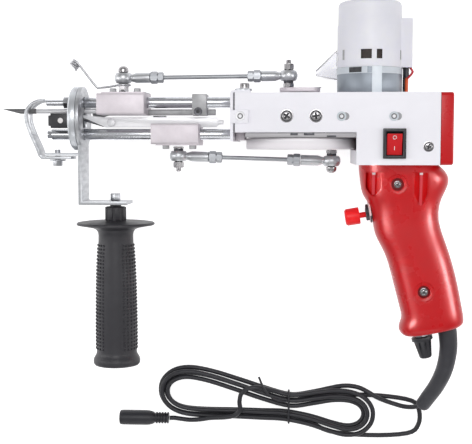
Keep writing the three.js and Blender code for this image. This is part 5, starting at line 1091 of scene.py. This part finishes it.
def addRod(name, rod):
    front, rear = Vector(rod["front"]), Vector(rod["rear"])
    run = (rear - front).length
    lean = math.atan2(rear.y - front.y, rear.x - front.x)
    barrelEnd = rodShape["barrelStart"] + rod["barrel"] + rodShape["barrelGap"]

    def lay(piece, turned):
        setPiece(piece, (0, 0, 0), "X")
        if turned:
            piece.rotation_euler = (0, 0, math.pi)
            settle(piece)
            piece.location = (run * mm, 0, 0)
            settle(piece)
        piece.rotation_euler = (0, 0, lean)
        piece.location = spot(*front)
        settle(piece)
        return piece

    wide, edge, narrow = rodShape["barrelEdge"]
    shape = rodShape["neck"] + [(wide, barrelEnd - edge), (narrow, barrelEnd), (0, barrelEnd)]
    for end, turned in (("front", False), ("rear", True)):
        shank = lay(turnedPiece("shank", shape, 32), turned)
        head = turnedPiece("head", rodShape["head"], 40)
        setPiece(head, spot(*rod[end]), "Y")
        piece = joinAll([shank, head], name + "_" + end + "_end_finished")
        finishPiece(piece, "castMetal", rod["body"], [name + "_" + end + "_rod_end"], 40)
    inset, radius = rodShape["rodInset"], rodShape["rod"]
    low, high = barrelEnd + inset, run - barrelEnd - inset
    pieces = [lay(turnedPiece("rod", [(0, low), (radius, low), (radius, high), (0, high)], 24), False)]
    for turned in (False, True):
        start = barrelEnd + rodShape["nutGap"]
        middle = start + rodShape["collarLength"]
        end = middle + rodShape["stopNutLength"]
        pieces.append(lay(nutBetween(rodShape["collar"], start, middle), turned))
        pieces.append(lay(nutBetween(rodShape["stopNut"], middle, end), turned))
    piece = joinAll(pieces, name + "_tie_rod_finished")
    finishPiece(piece, "rodSteel", rod["body"], [name + "_tie_rod"], 30)


for name, rod in rods.items():
    addRod(name, rod)

# heights of the foot and the ball, x, direction, whether the nut is a dome, and the body
ballPins = {
    "needle_slider_pin": (7.7, 17.6, -128.1, 1, True, "needle_carriage"),
    "upper_rear_pin": (10.6, 18.8, -9.3, 1, False, "upper_rod"),
    "scissor_slider_pin": (-31.5, -38.4, -88.4, -1, False, "scissor_carriage"),
    "lower_rear_pin": (-33.9, -41.9, 21.6, -1, True, "lower_rod"),
}
pinShape = {
    "foot": (3.9, 5.2),  # radius, and how far it ends under the ball's centre
    "nut": (3.8, 4.1, 8.4),  # radius, start and end over that centre
    "turn": 0.3,
    # radius and height over that centre
    "ball": [(0, -4.4), (2.6, -4.3), (3.4, -2.6), (4.1, -1.2), (4.3, 0), (4.1, 1.2), (3.4, 2.6), (2.6, 4.2),
             (0, 4.2)],
    "dome": [(0, 4.1), (3.5, 4.1), (3.8, 4.5), (3.8, 6.1), (3.5, 7.1), (2.7, 8), (1.5, 8.6), (0, 8.75)],
    "thread": [(0, 8.2), (1.9, 8.2), (1.9, 8.9), (1.6, 9.1), (1.9, 9.3), (1.6, 9.6), (1.9, 9.9), (1.6, 10.2),
               (1.9, 10.5), (1.6, 11.1), (1.2, 11.3), (0, 11.3)],
    "neck": [(0, -5.4), (3.3, -5.3), (3.5, -5), (3.5, -3.9), (3.2, -3.6), (0, -3.6)],
}


def addBallPin(node, foot, ball, x, hand, domed, body):
    reach = abs(ball - foot)
    axis = "Y" if hand > 0 else "-Y"
    radius, gap = pinShape["foot"]
    pieces = [nutBetween(radius, 0, reach - gap), turnedPiece("ball", raised(pinShape["ball"], reach), 32)]
    if domed:
        pieces.append(turnedPiece("dome", raised(pinShape["dome"], reach), 32))
    else:
        radius, start, end = pinShape["nut"]
        pieces.append(nutBetween(radius, reach + start, reach + end))
        pieces.append(turnedPiece("thread", raised(pinShape["thread"], reach), 24))
    for piece in pieces:
        setPiece(piece, spot(x, foot, 0), axis, pinShape["turn"])
    finishPiece(joinAll(pieces, node + "_finished"), "chrome", body, [node])
    neck = turnedPiece(node + "_neck", raised(pinShape["neck"], reach), 32)
    finishPiece(setPiece(neck, spot(x, foot, 0), axis), "darkSteel", body)


for node, values in ballPins.items():
    addBallPin(node, *values)
print("rods and pins assembled")

# the guide's wire with its coiled eye
guide = {"wire": 0.84, "turns": 2.75, "pitch": 1.75, "eye": 3, "eyeSteps": 56, "reach": 16.2, "rise": 14.9,
         "drop": 5.1, "run": 19, "dip": 1.8, "x": -128.1, "pinY": 17.6, "ringReach": 4.7,
         "ring": [(4.2, -0.7), (5.2, -0.7), (5.4, -0.4), (5.4, 0.4), (5.2, 0.7), (4.2, 0.7), (4.2, -0.7)]}


def addYarnGuide():
    y = guide["pinY"] - guide["drop"]
    low = y - guide["dip"]
    bend = guide["x"] - guide["run"]
    along = Vector((-guide["reach"], guide["rise"], 0)).normalized()
    across = Vector((along.y, -along.x, 0))
    middle = Vector((bend - guide["reach"], y + guide["rise"], 0))
    eye = []
    for step in range(guide["eyeSteps"] + 1):
        turns = guide["turns"] * step / guide["eyeSteps"]
        angle = 2 * math.pi * turns
        eye.append(middle + across * guide["pitch"] * (guide["turns"] / 2 - turns)
                   + along * guide["eye"] * math.sin(angle) + Vector((0, 0, guide["eye"] * math.cos(angle))))
    corner = Vector((bend - 1, low + 1, 0.2))
    halfway = Vector((guide["x"] - guide["run"] / 2, y - guide["dip"] / 2, 0))
    start = [Vector((guide["x"] - guide["ringReach"], y, 0)), halfway, Vector((bend + 1.5, low, 0)), corner,
             (eye[0] + corner) / 2, eye[0] - along * 1.5]
    route = [spot(*point) for point in throughPoints(start + eye, 2)]
    wire = toMesh(curvePiece("guide_wire", route, guide["wire"] * mm, sides=3))
    ring = turnedPiece("guide_ring", guide["ring"], 40)
    setPiece(ring, spot(guide["x"], y, 0), "Y")
    piece = joinAll([wire, ring], "yarn_guide_finished")
    finishPiece(piece, "springWire", "needle_carriage", ["yarn_guide"], 50)


addYarnGuide()

# strain relief: a smooth tapered tube that the lead comes out of
sleeve = {"start": 6.9, "end": 5.3, "lip": 0.5, "reach": (0.1424, -0.149, 0.0157)}


def addSleeve():
    points = throughPoints([Vector(point) for point in sleeveRoute + [sleeve["reach"]]], 8)
    count = len(points) - 1
    taper = sleeve["end"] - sleeve["start"]
    radii = [(sleeve["start"] + taper * index / count) * mm for index in range(count + 1)]
    radii[-1] -= sleeve["lip"] * mm
    radii[-2] -= sleeve["lip"] * mm * 0.25
    piece = toMesh(curvePiece("sleeve_finished", points, mm, radii, 9))
    finishPiece(piece, "sleeveRubber", replaced=["cord_sleeve"], degrees=40)


addSleeve()

# connector on the cord's end, from its socket to the last rib
connector = {
    "start": (-139.2, -241, -35.2),
    "profile": [
        (0, 9.5), (2.7, 9.5), (2.75, 0.6), (3.3, 0), (4.6, 0), (5.3, 0.4), (5.6, 1.2), (5.7, 3), (5.7, 21),
        (5.5, 23), (5, 25), (4.3, 26.6), (3.6, 27.3), (3.5, 27.9), (4.3, 28.2), (4.4, 28.6), (4.4, 29.1),
        (3.6, 29.5), (3.6, 30.1), (4.4, 30.5), (4.4, 31.3), (3.6, 31.7), (3.6, 32.3), (4.4, 32.7),
        (4.4, 33.5), (3.6, 33.9), (3.6, 34.5), (4.4, 34.9), (4.4, 35.7), (3.6, 36.1), (3.6, 36.7),
        (4.4, 37.1), (4.35, 37.8), (4, 38), (0, 38),
    ],
    "pin": [(0, 1.5), (0.6, 1.5), (1, 2), (1, 9.6), (0, 9.6)],
}


def addConnector():
    body = turnedPiece("connector_finished", connector["profile"], 40)
    pin = turnedPiece("connector_pin", connector["pin"], 20)
    for piece in (body, pin):
        setPiece(piece, spot(*connector["start"]), "X")
    finishPiece(body, "cordBlack", replaced=["dc_connector"])
    finishPiece(pin, "steel")


addConnector()

tie = {"x": -8.6, "low": (-242.8, -40.1), "high": (-218.3, -30.5), "corner": 3.2, "cornerSteps": 4,
       "wire": 0.8,
       "loose": [(-8.6, -225.5, -30.6), (-16, -224.5, -28.6), (-22.5, -221, -27.6), (-27.5, -214.5, -27),
                 (-31.3, -206, -27.5)]}


def addTie():
    (y0, z0), (y1, z1) = tie["low"], tie["high"]
    corner, parts = tie["corner"], tie["cornerSteps"]
    centres = [(y1 - corner, z1 - corner), (y0 + corner, z1 - corner), (y0 + corner, z0 + corner),
               (y1 - corner, z0 + corner)]
    points = []
    for index, (y, z) in enumerate(centres):
        for step in range(parts + 1):
            angle = math.radians(90 * index + step * 90 / parts)
            points.append(spot(tie["x"], y + corner * math.cos(angle), z + corner * math.sin(angle)))
    band = curvePiece("tie_band", points, tie["wire"] * mm, sides=3)
    band.data.splines[0].use_cyclic_u = True
    route = throughPoints([spot(*point) for point in tie["loose"]], 5)
    loose = curvePiece("tie_loose", route, tie["wire"] * mm, sides=3)
    piece = joinAll([toMesh(band), toMesh(loose)], "tie_finished")
    finishPiece(piece, "cordBlack", replaced=["cord_tie"], degrees=50)


addTie()
print("cord's fittings made")

# what shows round the motor: a dark screen inside, painted shade behind the windows, the collar, and the
# patches on its curve, the wide vent's dark one painted shade too
trim = {
    "motorX": 48,
    "patchInside": 22.85,
    # a dark ring inside the cover, painted shade behind the windows
    "shadeScreen": (21.24, 21.42, 26, 38),
    "collar": (22.91, 22.98, 19, 23.55),
    # radius, lowest and highest y, start and end x, finish
    "patches": {
        # painted shade: the wide vent shows as a dark patch
        "motor_vent_wide": (23.04, 19.6, 23.2, 32.8, 41.1, "recess"),
        "motor_vent_narrow": (23.04, 19.2, 23.4, 45, 48.3, "canSteel"),
        "cover_slot_front": (22.98, 28.6, 35.6, 28.4, 29.6, "greyMetal"),
        "cover_slot_rear": (22.98, 29, 35.4, 68.6, 69.6, "greyMetal"),
    },
    "strip": ((48.2, 5.4, 21.4), (55, 23.9, 23.5)),
}


def motorRing(name, inner, outer, low, high):
    return setPiece(ringPiece(name, inner, outer, low, high, 96), spot(trim["motorX"], 0, 0), "Y")


def addMotorTrim():
    finishPiece(motorRing("motor_shade_screen", *trim["shadeScreen"]), "shadeBrown")
    finishPiece(motorRing("motor_collar", *trim["collar"]), "smokyPlastic")
    for name, (radius, low, high, start, end, finish) in trim["patches"].items():
        patch = motorRing(name, trim["patchInside"], radius, low, high)
        cutWith(patch, roundBlock("patch_range", (start, low - 1, 1), (end, high + 1, 30), 0), "INTERSECT")
        finishPiece(patch, finish)
    finishPiece(roundBlock("motor_strip", *trim["strip"], 0.4), "stripPlastic")


addMotorTrim()

# radius, finish, replaced nodes and route of each lead
leads = {
    "motor_lead_black": (1.3, "cordBlack", ["motor_lead_far"], [
        (73.1, 28.5, -2.4), (73, 18, -2.4), (72.9, 9, -2.3), (72.9, 0.2, -2.3)]),
    "motor_lead_orange": (1.15, "orangeWire", ["motor_lead_near"], [
        (74, 26, 2.6), (74, 18, 2.6), (73.9, 9, 2.6), (73.8, 0.2, 2.6)]),
    "motor_lead_sleeve": (1.85, "blackPlastic", [], [(73.7, 28.6, 2.7), (73.7, 22, 2.7), (73.8, 16.8, 2.7)]),
    "motor_lead_red": (0.8, "redWire", [], [
        (75, 28, 3.6), (75.8, 24.8, 3.8), (77.6, 21.6, 4), (77.9, 20.6, 4), (76.4, 18.4, 3.9),
        (74.4, 16.4, 3.9)]),
}


def addLeads():
    for name, (radius, finish, replaced, route) in leads.items():
        points = throughPoints([spot(*point) for point in route], 5)
        piece = toMesh(curvePiece(name, points, radius * mm, sides=4))
        finishPiece(piece, finish, replaced=replaced, degrees=50)


addLeads()

plates = {
    # low corner, high corner, edge, finish
    # a dark strip, painted shadow in the gap between the front plate and the housing
    "front_seam_shadow": ((-45.9, -22, 40.2), (-45.1, 5, 41.06), 0.05, "darkSteel"),
    "slot_fill_front": ((22.9, -13.6, 39.5), (26.2, -8.8, 41.03), 0, "whitePaint"),
    "slot_fill_rear": ((57.9, -13.6, 39.5), (61.2, -8.8, 41.03), 0, "whitePaint"),
    "tab_plate": ((-44.9, -15.5, 42.2), (-35.8, -6.4, 42.95), 0.3, "whitePaint"),
    # dark blocks on the bottom plate's edge, painted shade in its notches
    "plate_notch_shade_front": ((-7.5, -24, 40.5), (-2.4, -22.2, 41.06), 0.2, "darkSteel"),
    "plate_notch_shade_middle": ((1.6, -24, 40.5), (8.8, -22.2, 41.06), 0.2, "darkSteel"),
    "plate_notch_shade_rear": ((17, -25.2, 40.5), (23.4, -23.9, 41.06), 0.2, "darkSteel"),
    "needle_slider_shim": ((-140, 6.6, -12), (-110.5, 7.05, 12), 0.1, "steel"),
    "cap_catch_upper": ((101.4, -29, -6), (102.1, -25, 6), 0.3, "redPlastic"),
}


def addPlates():
    for name, (low, high, edge, finish) in plates.items():
        body = "needle_carriage" if "needle" in name else "machine"
        finishPiece(roundBlock(name, low, high, edge), finish, body)


addPlates()

rings = {
    # radii inside and outside, thickness, place, direction, lean in degrees and finish
    "guide_hole_ring": (0, 1.9, 0.3, (-171.6, -13.1, 12.55), "Z", 0, "whiteMark"),
    # the trigger washer is pale metal, and its pink tint is painted reflection of the red grip
    "trigger_washer": (4.4, 7, 1.4, (48.4, -77.9, 0), "X", 9.3, "pinkGlint"),
    "trigger_ring": (4.25, 5.4, 1.7, (46.5, -78.2, 0), "X", 9.3, "blackPlastic"),
    "knob_washer": (3.4, 5.6, 0.8, (86.9, -166.2, 0), "Y", 9, "chrome"),
}


def addRings():
    for name, (inner, outer, thick, place, axis, lean, finish) in rings.items():
        edge = min(0.25, thick / 3)
        ring = turnedPiece(name, [(inner, 0), (outer - edge, 0), (outer, edge), (outer, thick - edge),
                                  (outer - edge, thick), (inner, thick), (inner, 0)], 40)
        finishPiece(setPiece(ring, spot(*place), axis, lean=lean), finish)


addRings()

# the switch's round and upright marks, laid on the rocker by shrinkwrap
marks = {"x": 62.35, "circleY": -25.4, "circle": (0.95, 1.3), "barY": -32.6, "bar": (0.2, 1.3), "face": 46,
         "sheet": 0.02, "proud": 0.12, "thick": 0.1}


def addMarks():
    x, face, sheet = marks["x"], marks["face"], marks["sheet"]
    wide, tall = marks["bar"]
    circle = ringPiece("mark_circle", *marks["circle"], 0, sheet, 40)
    setPiece(circle, spot(x, marks["circleY"], face))
    bar = roundBlock("mark_bar", (x - wide, marks["barY"] - tall, face),
                     (x + wide, marks["barY"] + tall, face + sheet), 0)
    top = spot(0, 0, face).z + 0.00001
    for piece in (circle, bar):
        editPiece(piece)
        pickPoints(piece, lambda index, place: place.z < top)
        bpy.ops.mesh.delete(type="VERT")
        bpy.ops.mesh.select_all(action="SELECT")
        if piece is bar:
            bpy.ops.mesh.subdivide(number_cuts=6)
        leaveEdit()
        applyModifier(piece, "SHRINKWRAP", target=bpy.data.objects["rocker_finished"], wrap_method="PROJECT",
                      use_project_z=True, use_negative_direction=True, use_positive_direction=True,
                      offset=marks["proud"] * mm)
        applyModifier(piece, "SOLIDIFY", thickness=marks["thick"] * mm, offset=0)
        finishPiece(piece, "whiteMark", "power_rocker")


addMarks()
print("trim added")

powerCord = curvePiece("power_cord", cordPoints, cord["radius"])
powerCord.data.materials.append(finishes["cordBlack"])
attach(powerCord, "machine")
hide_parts("cord_hank", "cord_lead")
print("cord laid")
